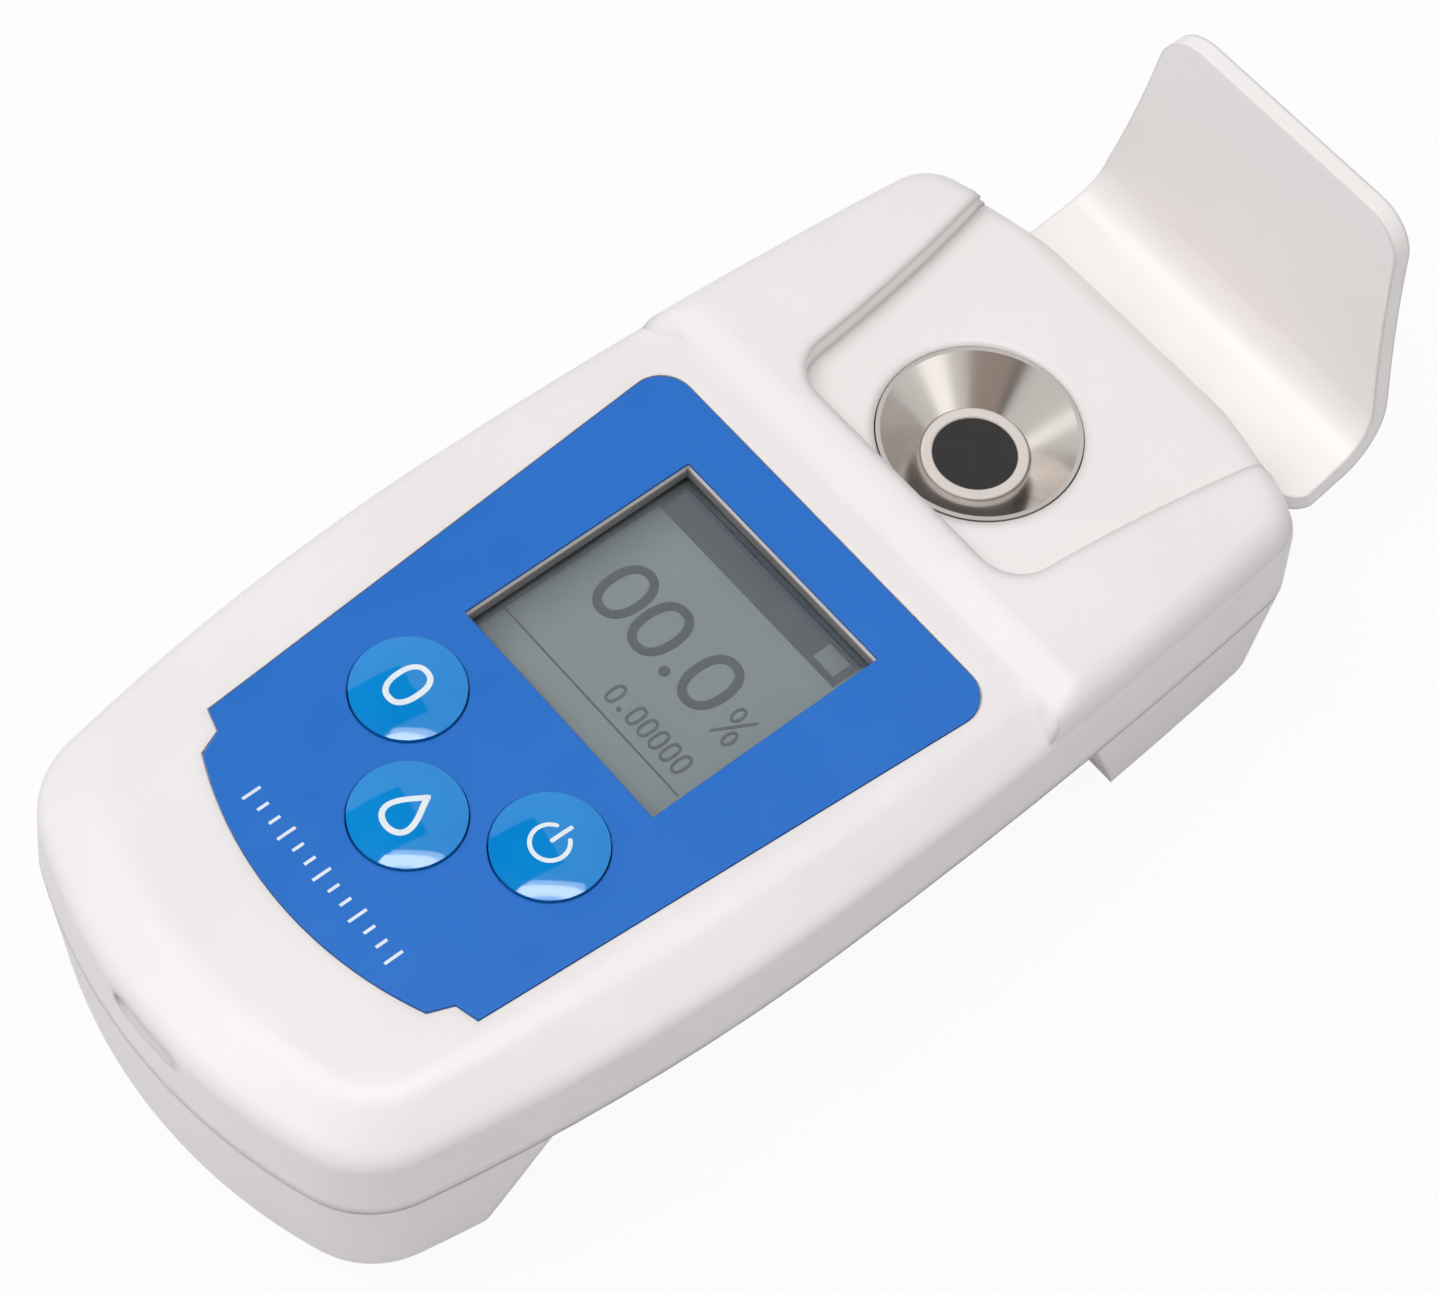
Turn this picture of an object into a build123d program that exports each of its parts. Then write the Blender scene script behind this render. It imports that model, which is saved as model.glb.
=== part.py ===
from build123d import *
import os

os.makedirs("parts", exist_ok=True)

# Handheld brix refractometer, lying on its two feet with the sample well's lid open.
# X runs across the body, Y from the key end to the well end, Z up from the table.

# Heights above the table
DECK_Z = 30.5
DECK_DROP = 2.5
HEAD_RISE = 1.2
RAMP_FOOT = 1.0
SEAT_SINK = 1.85
WALL_HEIGHT = 11.5
GRIP_Z = 6.0

# Plan outline of the body, measured at the seam between the two shells
NOSE_Y = -75.4
NOSE_HALF = 27.9
NOSE_BOW = 6.5
NOSE_CORNER = 11.0
WIDE_Y = -14.0
WIDE_HALF = 34.0
TAIL_Y = 58.9
TAIL_HALF = 30.8
TAIL_BOW = 5.6
TAIL_CORNER = 6.5

# Walls and general clearances
WALL = 2.2
WALL_LEAN = 0.5
FIT_GAP = 0.15
LOOSE_GAP = 0.3
SEAM_GAP = 0.25
SEAM_LIP = 1.4

# Flat deck on the handle, inside the sloping border
DECK_NOSE_Y = -68.6
DECK_NOSE_HALF = 22.6
DECK_NOSE_BOW = 4.4
DECK_NOSE_CORNER = 9.0
DECK_WIDE_HALF = 27.6
DECK_WIDE_Y = 5.0
DECK_TAIL_HALF = 26.6
DECK_TAIL_Y = 50.0
DECK_TAIL_BOW = 2.0
DECK_TAIL_CORNER = 4.0
DECK_SOFTEN = 6.0
EDGE_SOFTEN = 1.6

# Raised head round the sample well
HEAD_Y = 15.8
HEAD_RAMP = 4.0
HEAD_LEAN = 1.3
HEAD_SOFTEN = 3.2
SEAT_FRONT_Y = 21.9
SEAT_FRONT_HALF = 17.6
SEAT_MID_HALF = 19.6
SEAT_MID_Y = 40.0
SEAT_REAR_HALF = 23.4
SEAT_CORNER = 5.0
SEAT_SOFTEN = 3.0

# Key panel on the deck
PANEL_T = 0.4
PANEL_SINK = 0.35
PANEL_REAR_Y = 12.2
PANEL_REAR_HALF = 26.3
PANEL_REAR_CORNER = 3.8
PANEL_FRONT_Y = -50.6
PANEL_FRONT_HALF = 21.6
PANEL_STEP_HALF = 19.0
PANEL_STEP_Y = -51.3
PANEL_LIP_HALF = 17.9
PANEL_LIP_Y = -54.0
PANEL_NOSE_Y = -57.9

# Display
WINDOW_Y = -8.8
WINDOW_W = 30.0
WINDOW_L = 29.6
LENS_T = 0.8
LENS_GAP = 0.2
GLASS_T = 2.0
DISPLAY_MARGIN = 2.2
BACKLIGHT_T = 1.6
FRAME_T = 0.8

# Keys
KEY_R = 6.0
KEY_TRAVEL = 0.5
KEY_DOME = 0.75
KEY_STAND = 0.3
KEY_SIDE_X = 11.3
KEY_ROW_Y = -33.65
KEY_FRONT_Y = -42.45
KEY_RIM = 0.6
KEY_RIM_T = 1.0
KEY_STEM_R = 1.8
KEY_STEM = 1.6
SWITCH_SIZE = 6.0
SWITCH_H = 3.2
PLUNGER_R = 1.7

# Circuit board
BOARD_Z = 19.0
BOARD_T = 1.6
BOARD_HALF = 23.0
BOARD_FRONT_Y = -53.0
BOARD_REAR_Y = 16.0
BOARD_SCREW_X = 20.0
BOARD_SCREW_FRONT_Y = -49.0
BOARD_SCREW_REAR_Y = 12.8
SCREW_R = 1.0
SCREW_HEAD_R = 1.9
SCREW_HEAD_T = 1.3
SCREW_GRIP = 4.0
HEAD_CHAMFER_SHARE = 4
BOSS_R = 2.6

# Sample well
WELL_Y = 33.8
WELL_R = 11.1
WELL_RIM = 0.5
WELL_STAND = 0.1
PRISM_R = 4.6
PRISM_SINK = 5.86
SEAL_R = 5.85
SEAL_STAND = 0.25
WELL_BASE_Z = 20.0
PRISM_TIP_Z = 11.0

# Optical block under the well
BLOCK_HALF = 13.0
BLOCK_FRONT_Y = 23.0
BLOCK_REAR_Y = 48.0
LAMP_R = 2.5
LAMP_Z = 10.0
LAMP_FLANGE = 1.0
PRISM_FOOT = 2.0
SENSOR_BOARD_T = 1.2
SENSOR_W = 16.0
SENSOR_SPARE_W = 4.0
SENSOR_SHORT_H = 3.0
SENSOR_H = 5.0
SENSOR_T = 1.5

# Lower shell
FOOT_LEAN = 1.0
FOOT_SOFTEN = 4.5
GRIP_LEAN = 9.0
GRIP_SOFTEN = 3.0
LIP_T = 1.2
LIP_ROOT = 1.55
LIP_ROOT_INSET = 1.5
RIB_R = 2.6
RIB_PITCH = 6.9
RIB_COUNT = 7
RIB_MID_Y = -23.4
RIB_STAND = 1.3
RIB_SINK = 0.2
RIB_CREST_Z = 10.5
FRONT_FOOT_REAR_Y = -57.0
REAR_FOOT_FRONT_Y = 30.0
FOOT_SLOPE = 8.0
CASE_SCREW_X = 20.0
CASE_SCREW_FRONT_Y = -64.0
CASE_SCREW_REAR_Y = 49.5
CASE_SCREW_R = 1.25
CASE_HEAD_R = 2.3
CASE_HEAD_T = 1.8
CASE_SCREW_LENGTH = 12.0
CASE_BOSS_R = 3.6
CASE_COUNTERBORE = 8.0

# Battery bay
CELL_R = 5.25
CELL_LENGTH = 44.5
CELL_NUB_R = 1.9
CELL_NUB = 1.0
CELL_PITCH = 11.4
BAY_Y = -7.0
CONTACT_ROOM = 3.0
CONTACT_T = 0.4
CONTACT_GAP = 0.3
CONTACT_TOUCH = 0.05
CONTACT_BOW = 3.0
CONTACT_HALF = 2.5
DOOR_LEDGE = 1.5
DOOR_T = 1.8
DOOR_TAB_X = 9.85
DOOR_TAB_W = 2.5
DOOR_TAB_L = 1.8
DOOR_TAB_T = 1.0
DOOR_TAB_ROOT = 1.2
DOOR_TAB_ROOM = 11.0
DOOR_RIB_PITCH = 2.0
DOOR_RIB_CUT = 0.6
DOOR_RIB_COUNT = 5

# Lid and its hinge
PIN_R = 1.0
PIN_RUN = 0.06
PIN_SEAT = 0.02
HINGE_OUT = 1.1
BARREL_R = 1.9
BARREL_HALF = 14.0
LUG_R = 2.1
LUG_W = 3.4
LID_T = 2.2
LID_GAP = 0.35
LID_REACH = 13.75
LID_TOP_Z = 49.3
LID_BEND = 5.3
LID_HEEL_DROP = 1.04
LID_HEEL_SLOPE = 0.24
LID_HEEL_HALF = 23.1
LID_SIDE_GAP = 0.5
LID_BEND_HALF = 21.4
LID_TIP_HALF = 17.4
LID_BEND_GAP = 0.2
LID_TIP_CORNER = 5.5
LID_HEEL_CORNER = 3.5
BARREL_WEB = 1.0

# Strap slot in the nose
SLOT_X = 0.8
SLOT_W = 9.6
SLOT_H = 2.2
SLOT_DEPTH = 4.0
SLOT_BELOW_EDGE = 2.6

# Places worked out from the sizes above
EDGE_Z = DECK_Z - DECK_DROP
HEAD_Z = DECK_Z + HEAD_RISE
SEAT_Z = DECK_Z - SEAT_SINK
SEAM_Z = DECK_Z - WALL_HEIGHT
CEILING_Z = SEAT_Z - WALL
SEAT_LEAN = HEAD_LEAN * (SEAT_Z - SEAM_Z) / (HEAD_Z - SEAM_Z)
DECK_UNDER_Z = DECK_Z - WALL
BOARD_TOP_Z = BOARD_Z + BOARD_T
PANEL_TOP_Z = DECK_Z - PANEL_SINK + PANEL_T
LENS_TOP_Z = DECK_UNDER_Z
PRISM_Z = DECK_Z - PRISM_SINK
HINGE_Y = TAIL_Y + HINGE_OUT
HINGE_Z = SEAT_Z + LID_GAP - LID_REACH
LID_FACE_Y = HINGE_Y + LID_REACH
BAY_FRONT_Y = BAY_Y - CELL_LENGTH / 2 - CONTACT_ROOM
BAY_REAR_Y = BAY_Y + CELL_LENGTH / 2 + CONTACT_ROOM
BAY_FLOOR_Z = GRIP_Z + WALL
CELL_Z = BAY_FLOOR_Z + CELL_R + FIT_GAP
BAY_LENGTH = BAY_REAR_Y - BAY_FRONT_Y
BAY_TOP_Z = BOARD_Z - LOOSE_GAP
DOOR_FRONT_Y = BAY_FRONT_Y - DOOR_LEDGE
DOOR_LENGTH = BAY_LENGTH + 2 * DOOR_LEDGE
DOOR_WIDTH = 2 * (CELL_PITCH + DOOR_LEDGE)
BLOCK_Z = BAY_FLOOR_Z + LOOSE_GAP
DISPLAY_H = LENS_TOP_Z - LENS_T - LENS_GAP - BOARD_TOP_Z
KEY_RIM_Z = DECK_UNDER_Z - LOOSE_GAP
KEY_STEM_Z = KEY_RIM_Z - KEY_RIM_T - KEY_STEM
LAMP_LENGTH = WELL_Y - PRISM_R - LOOSE_GAP - BLOCK_FRONT_Y
PIN_HALF = BARREL_HALF + LOOSE_GAP + LUG_W
LID_HEEL_Y = HINGE_Y + LUG_R + LOOSE_GAP
LID_HEEL_Z = HINGE_Z - LID_HEEL_DROP + (LID_HEEL_Y - HINGE_Y) * LID_HEEL_SLOPE
LID_CORNER_Z = HINGE_Z - LID_HEEL_DROP + LID_REACH * LID_HEEL_SLOPE
CLOSE_GAP = FIT_GAP / 3
DOOR_RIBS_BACK = 4 * DOOR_RIB_PITCH
CELL_SOFTEN = CELL_R / 8
SWITCH_CHAMFER = SWITCH_SIZE / 12
PRISM_TIP_R = PRISM_R / 3
LAMP_DOME = LAMP_R * 4 / 5
PIN_CHAMFER = PIN_R / 4
LID_MID_HALF = SEAT_MID_HALF - LID_SIDE_GAP
LID_MID_Z = HINGE_Z + HINGE_Y - SEAT_MID_Y
LID_BEND_Y = LID_FACE_Y - LID_BEND
LID_BEND_RISE = LID_BEND * (1 + LID_HEEL_SLOPE**2) ** 0.5 - LID_BEND * LID_HEEL_SLOPE
LID_BEND_Z = LID_CORNER_Z + LID_BEND_RISE
SHUT_BEND_Y = HINGE_Y + HINGE_Z - LID_BEND_Z
SHUT_BEND_Z = HINGE_Z + LID_BEND_Y - HINGE_Y
FAR = 100.0

KEYS = {
    "zero_key": (-KEY_SIDE_X, KEY_ROW_Y),
    "measure_key": (0, KEY_FRONT_Y),
    "power_key": (KEY_SIDE_X, KEY_ROW_Y),
}


def closed_outline(level, nose, wide, tail, corners):
    """Draw a body-like outline: bowed nose and tail, sides widest at one place."""
    nose_y, nose_half, nose_bow = nose
    wide_y, wide_half = wide
    tail_y, tail_half, tail_bow = tail
    with BuildSketch(Plane.XY.offset(level)) as outline:
        with BuildLine():
            TangentArc((0, nose_y), (nose_half, nose_y + nose_bow), tangent=(1, 0))
            TangentArc((wide_half, wide_y), (nose_half, nose_y + nose_bow), tangent=(0, -1))
            TangentArc((wide_half, wide_y), (tail_half, tail_y - tail_bow), tangent=(0, 1))
            TangentArc((0, tail_y), (tail_half, tail_y - tail_bow), tangent=(1, 0))
            mirror(about=Plane.YZ)
        make_face()
        fillet(outline.vertices().sort_by(Axis.Y)[-2:], corners[1])
        fillet(outline.vertices().sort_by(Axis.Y)[:2], corners[0])
    return outline.sketch


def body_section(level, inset=0.0):
    """Body outline at a height, drawn in all round by an inset."""
    return closed_outline(
        level,
        (NOSE_Y + inset, NOSE_HALF - inset, NOSE_BOW),
        (WIDE_Y, WIDE_HALF - inset),
        (TAIL_Y - inset, TAIL_HALF - inset, TAIL_BOW),
        (NOSE_CORNER - inset / 2, TAIL_CORNER - inset / 2),
    )


def deck_section(level, inset=0.0, tail_y=DECK_TAIL_Y):
    """Outline of the flat deck, drawn in by an inset."""
    return closed_outline(
        level,
        (DECK_NOSE_Y + inset, DECK_NOSE_HALF - inset, DECK_NOSE_BOW),
        (DECK_WIDE_Y, DECK_WIDE_HALF - inset),
        (tail_y - inset, DECK_TAIL_HALF - inset, DECK_TAIL_BOW),
        (DECK_NOSE_CORNER - inset, DECK_TAIL_CORNER - inset),
    )


def panel_outline(level, grow=0.0):
    """Outline of the key panel: straight rear, stepped front corners, bowed front."""
    rear = PANEL_REAR_Y + grow
    with BuildSketch(Plane.XY.offset(level)) as outline:
        with BuildLine():
            Polyline(
                (0, rear),
                (PANEL_REAR_HALF + grow, rear),
                (PANEL_FRONT_HALF + grow, PANEL_FRONT_Y - grow),
                (PANEL_STEP_HALF + grow, PANEL_STEP_Y - grow),
                (PANEL_LIP_HALF + grow, PANEL_LIP_Y - grow),
            )
            TangentArc(
                (0, PANEL_NOSE_Y - grow),
                (PANEL_LIP_HALF + grow, PANEL_LIP_Y - grow),
                tangent=(1, 0),
            )
            mirror(about=Plane.YZ)
        make_face()
        fillet(outline.vertices().group_by(Axis.Y)[-1].sort_by(Axis.X)[0], PANEL_REAR_CORNER)
        fillet(outline.vertices().group_by(Axis.Y)[-1].sort_by(Axis.X)[-1], PANEL_REAR_CORNER)
    return outline.sketch


def seat_outline(level, grow=0.0):
    """Outline of the recess that the closed lid lies in, open towards the tail."""
    with BuildSketch(Plane.XY.offset(level)) as outline:
        with BuildLine():
            Line((0, SEAT_FRONT_Y - grow), (SEAT_FRONT_HALF + grow, SEAT_FRONT_Y - grow))
            ThreePointArc(
                (SEAT_FRONT_HALF + grow, SEAT_FRONT_Y - grow),
                (SEAT_MID_HALF + grow, SEAT_MID_Y),
                (SEAT_REAR_HALF + grow, TAIL_Y),
            )
            Line((SEAT_REAR_HALF + grow, TAIL_Y), (SEAT_REAR_HALF + grow, FAR))
            Line((SEAT_REAR_HALF + grow, FAR), (0, FAR))
            mirror(about=Plane.YZ)
        make_face()
        fillet(outline.vertices().group_by(Axis.Y)[0].sort_by(Axis.X)[0], SEAT_CORNER)
        fillet(outline.vertices().group_by(Axis.Y)[0].sort_by(Axis.X)[-1], SEAT_CORNER)
    return outline.sketch


def at_height(part, level):
    """Edges of a part that lie flat at one height."""
    return part.edges().filter_by_position(Axis.Z, level - 0.01, level + 0.01)


def finish(part, name):
    """Label a finished piece and write it to its own file."""
    part.label = name
    export_step(part, "parts/" + name + ".step")


BOARD_SCREWS = [
    (x, y)
    for x in (-BOARD_SCREW_X, BOARD_SCREW_X)
    for y in (BOARD_SCREW_FRONT_Y, BOARD_SCREW_REAR_Y)
]
CASE_SCREWS = [
    (x, y)
    for x in (-CASE_SCREW_X, CASE_SCREW_X)
    for y in (CASE_SCREW_FRONT_Y, CASE_SCREW_REAR_Y)
]

# Upper shell: handle with its sloping border
with BuildPart() as handle_form:
    loft([body_section(SEAM_Z), body_section(EDGE_Z, WALL_LEAN)])
    loft([body_section(EDGE_Z, WALL_LEAN), deck_section(DECK_Z)])
    fillet(at_height(handle_form, DECK_Z), DECK_SOFTEN)
    fillet(at_height(handle_form, EDGE_Z), EDGE_SOFTEN)

# Upper shell: raised head with a sloping front
with BuildPart() as head_form:
    loft([body_section(SEAM_Z), body_section(HEAD_Z, HEAD_LEAN)])
    with BuildSketch(Plane.YZ):
        with BuildLine():
            Polyline(
                (HEAD_Y - DECK_DROP, SEAM_Z),
                (HEAD_Y - DECK_DROP, EDGE_Z - RAMP_FOOT),
                (HEAD_Y, DECK_Z),
                (HEAD_Y + HEAD_RAMP, HEAD_Z),
                (FAR, HEAD_Z),
                (FAR, SEAM_Z),
                close=True,
            )
        make_face()
    extrude(amount=FAR, both=True, mode=Mode.INTERSECT)
    rim = at_height(head_form, HEAD_Z).filter_by(GeomType.LINE, reverse=True)
    fillet(rim, HEAD_SOFTEN)
    extrude(seat_outline(SEAM_Z), amount=FAR, mode=Mode.SUBTRACT)

# Upper shell: seat that the closed lid lies on, rounded down at the tail
with BuildPart() as seat_form:
    loft([body_section(SEAM_Z), body_section(SEAT_Z, SEAT_LEAN)])
    split(bisect_by=Plane.XZ.offset(-SEAT_FRONT_Y), keep=Keep.BOTTOM)
    rim = at_height(seat_form, SEAT_Z).filter_by(GeomType.LINE, reverse=True)
    fillet(rim, SEAT_SOFTEN)

# Upper shell
with BuildPart() as upper_shell:
    add(handle_form.part)
    add(head_form.part)
    extrude(seat_outline(SEAT_Z), amount=FAR, mode=Mode.SUBTRACT)
    add(seat_form.part)
    hollow = [body_section(SEAM_Z, WALL), body_section(CEILING_Z, WALL + WALL_LEAN)]
    loft(hollow, mode=Mode.SUBTRACT)
    with BuildSketch(Plane.YZ):
        with Locations((SHUT_BEND_Y + FAR / 2, SHUT_BEND_Z + FAR / 2)):
            Rectangle(FAR, FAR)
        with Locations((SHUT_BEND_Y, SHUT_BEND_Z)):
            Circle(LID_BEND - LID_BEND_GAP, mode=Mode.SUBTRACT)
    extrude(amount=SEAT_REAR_HALF, both=True, mode=Mode.SUBTRACT)
    deck_hollow = deck_section(CEILING_Z, WALL, tail_y=HEAD_Y)
    extrude(deck_hollow, amount=DECK_UNDER_Z - CEILING_Z, mode=Mode.SUBTRACT)
    with BuildSketch(Plane.XY.offset(BOARD_TOP_Z)):
        with Locations(*BOARD_SCREWS):
            Circle(BOSS_R)
    extrude(until=Until.NEXT)
    with BuildSketch(Plane.XY.offset(SEAM_Z + SEAM_LIP + SEAM_GAP)):
        with Locations(*CASE_SCREWS):
            Circle(CASE_BOSS_R)
    extrude(until=Until.NEXT)
    panel_bed = panel_outline(DECK_Z - PANEL_SINK, FIT_GAP)
    extrude(panel_bed, amount=DECK_DROP, mode=Mode.SUBTRACT)
    with BuildSketch(Plane.XY.offset(DECK_UNDER_Z)):
        with Locations((0, WINDOW_Y)):
            Rectangle(WINDOW_W, WINDOW_L)
        with Locations(*KEYS.values()):
            Circle(KEY_R + FIT_GAP)
    extrude(amount=FAR, mode=Mode.SUBTRACT)
    with BuildSketch(Plane.XY.offset(WELL_BASE_Z)):
        with Locations((0, WELL_Y)):
            Circle(WELL_R + FIT_GAP)
    extrude(amount=FAR, mode=Mode.SUBTRACT)
    with BuildSketch(Plane.XZ.offset(-NOSE_Y)):
        with Locations((SLOT_X, EDGE_Z - SLOT_BELOW_EDGE)):
            SlotOverall(SLOT_W, SLOT_H)
    extrude(amount=-SLOT_DEPTH, mode=Mode.SUBTRACT)
    with BuildSketch(Plane.XY.offset(BOARD_TOP_Z)):
        with Locations(*BOARD_SCREWS):
            Circle(SCREW_R + CLOSE_GAP)
    extrude(amount=SCREW_GRIP, mode=Mode.SUBTRACT)
    with BuildSketch(Plane.XY.offset(SEAM_Z)):
        with Locations(*CASE_SCREWS):
            Circle(CASE_SCREW_R + CLOSE_GAP)
    extrude(amount=CEILING_Z - SEAM_Z - WALL, mode=Mode.SUBTRACT)
finish(upper_shell.part, "upper_shell")


def feet(inset, low):
    """The two feet as one drafted form, cut between them by the side view."""
    with BuildPart() as form:
        loft([body_section(SEAM_Z, inset), body_section(low, FOOT_LEAN + inset)])
        with BuildSketch(Plane.YZ):
            with BuildLine():
                Polyline(
                    (-FAR, SEAM_Z),
                    (-FAR, low),
                    (FRONT_FOOT_REAR_Y - inset, low),
                    (FRONT_FOOT_REAR_Y - inset + FOOT_SLOPE, SEAM_Z),
                    close=True,
                )
            make_face()
            with BuildLine():
                Polyline(
                    (FAR, SEAM_Z),
                    (FAR, low),
                    (REAR_FOOT_FRONT_Y + inset, low),
                    (REAR_FOOT_FRONT_Y + inset - FOOT_SLOPE, SEAM_Z),
                    close=True,
                )
            make_face()
        extrude(amount=FAR, both=True, mode=Mode.INTERSECT)
        fillet(at_height(form, low), FOOT_SOFTEN - inset)
    return form.part


def side_half(y):
    """Half width of the body at the seam, between the nose corner and the widest place."""
    run = NOSE_Y + NOSE_BOW - WIDE_Y
    rise = WIDE_HALF - NOSE_HALF
    radius = (run * run + rise * rise) / (2 * rise)
    return WIDE_HALF - radius + (radius * radius - (y - WIDE_Y) ** 2) ** 0.5


# Lower shell: outside form with feet, waist and grip ribs
with BuildPart() as lower_form:
    loft([body_section(SEAM_Z - SEAM_GAP), body_section(GRIP_Z, GRIP_LEAN)])
    fillet(at_height(lower_form, GRIP_Z), GRIP_SOFTEN)
    waist_top = SEAM_Z - SEAM_GAP
    waist_slope = GRIP_LEAN / (waist_top - GRIP_Z)
    for side in (-1, 1):
        for start_z, end_z, start, end in (
            (waist_top, RIB_CREST_Z, -RIB_SINK, RIB_STAND),
            (RIB_CREST_Z, GRIP_Z + RIB_SINK, RIB_STAND, -RIB_SINK),
        ):
            with BuildSketch(Plane.XY.offset(start_z)):
                for count in range(RIB_COUNT):
                    rib_y = RIB_MID_Y + (count - (RIB_COUNT - 1) / 2) * RIB_PITCH
                    flank_x = side_half(rib_y) - waist_slope * (waist_top - start_z)
                    with Locations((side * (flank_x + start - RIB_R), rib_y)):
                        Circle(RIB_R)
            drop = start_z - end_z
            lean = side * (end - start - waist_slope * drop)
            way = Vector(lean, 0, -drop)
            extrude(amount=way.length, dir=way)
    add(feet(0, 0))
    with BuildSketch(Plane.XY.offset(SEAM_Z - SEAM_GAP)):
        Rectangle(2 * FAR, 2 * FAR)
    extrude(amount=FAR, mode=Mode.SUBTRACT)

# Lower shell
with BuildPart() as lower_shell:
    add(lower_form.part)
    hollow = [body_section(SEAM_Z, WALL), body_section(BAY_FLOOR_Z, GRIP_LEAN + WALL)]
    loft(hollow, mode=Mode.SUBTRACT)
    add(feet(WALL, WALL), mode=Mode.SUBTRACT)
    lip_low = SEAM_Z - SEAM_GAP - LIP_ROOT
    lip_inset = WALL + 2 * FIT_GAP
    lip_root = body_section(lip_low, LIP_ROOT_INSET) - body_section(lip_low, lip_inset + LIP_T)
    extrude(lip_root, amount=LIP_ROOT)
    lip_ring = body_section(lip_low, lip_inset) - body_section(lip_low, lip_inset + LIP_T)
    extrude(lip_ring, amount=SEAM_Z + SEAM_LIP - lip_low)
    with BuildSketch(Plane.XY.offset(WALL / 2)):
        with Locations(*CASE_SCREWS):
            Circle(CASE_BOSS_R)
    extrude(amount=SEAM_Z + SEAM_LIP - WALL / 2)
    with BuildSketch(Plane.XY.offset(BAY_FLOOR_Z - WALL / 2)):
        with Locations((0, BAY_Y)):
            Rectangle(DOOR_WIDTH + WALL * 2, DOOR_LENGTH + WALL * 2)
    extrude(amount=BAY_TOP_Z - BAY_FLOOR_Z + WALL / 2)
    with BuildSketch(Plane.XY):
        with Locations((0, BAY_Y)):
            Rectangle(2 * CELL_PITCH, BAY_LENGTH)
    extrude(amount=SEAM_Z, mode=Mode.SUBTRACT)
    with BuildSketch(Plane.XY):
        with Locations((0, BAY_Y)):
            Rectangle(DOOR_WIDTH + 2 * FIT_GAP, DOOR_LENGTH + 2 * FIT_GAP)
    extrude(amount=GRIP_Z + DOOR_T + FIT_GAP, mode=Mode.SUBTRACT)
    with BuildSketch(Plane.XY.offset(BAY_FLOOR_Z)):
        with Locations(
            (-DOOR_TAB_X, DOOR_FRONT_Y - DOOR_TAB_L / 2),
            (DOOR_TAB_X, DOOR_FRONT_Y - DOOR_TAB_L / 2),
        ):
            Rectangle(DOOR_TAB_W + 2 * LOOSE_GAP, DOOR_TAB_L + 2 * LOOSE_GAP)
    extrude(amount=DOOR_TAB_ROOM - BAY_FLOOR_Z, mode=Mode.SUBTRACT)
    with BuildSketch(Plane.XY.offset(GRIP_Z + DOOR_T)):
        with Locations(
            (-DOOR_TAB_X, BAY_FRONT_Y - DOOR_LEDGE / 2),
            (DOOR_TAB_X, BAY_FRONT_Y - DOOR_LEDGE / 2),
        ):
            Rectangle(DOOR_TAB_W + 2 * LOOSE_GAP, DOOR_LEDGE + 2 * FIT_GAP)
    extrude(amount=DOOR_TAB_ROOM - GRIP_Z - DOOR_T, mode=Mode.SUBTRACT)
    with BuildSketch(Plane.XY):
        with Locations(*CASE_SCREWS):
            Circle(CASE_SCREW_R + FIT_GAP)
    extrude(amount=SEAM_Z + SEAM_LIP, mode=Mode.SUBTRACT)
    with BuildSketch(Plane.XY):
        with Locations(*CASE_SCREWS):
            Circle(CASE_HEAD_R + FIT_GAP)
    extrude(amount=CASE_COUNTERBORE, mode=Mode.SUBTRACT)
    lug_mid = BARREL_HALF + LOOSE_GAP + LUG_W / 2
    for side in (-1, 1):
        with BuildSketch(Plane.YZ.offset(side * lug_mid)):
            with Locations((HINGE_Y, HINGE_Z)):
                Circle(LUG_R)
            with Locations((HINGE_Y - LUG_R, HINGE_Z)):
                Rectangle(2 * LUG_R, 2 * LUG_R)
        extrude(amount=LUG_W / 2, both=True)
    with BuildSketch(Plane.YZ):
        with Locations((HINGE_Y, HINGE_Z)):
            Circle(BARREL_R + LOOSE_GAP)
    extrude(amount=BARREL_HALF + LOOSE_GAP, both=True, mode=Mode.SUBTRACT)
    with BuildSketch(Plane.YZ):
        with Locations((HINGE_Y, HINGE_Z)):
            Circle(PIN_R + PIN_SEAT)
    extrude(amount=PIN_HALF + LOOSE_GAP, both=True, mode=Mode.SUBTRACT)
finish(lower_shell.part, "lower_shell")

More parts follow.
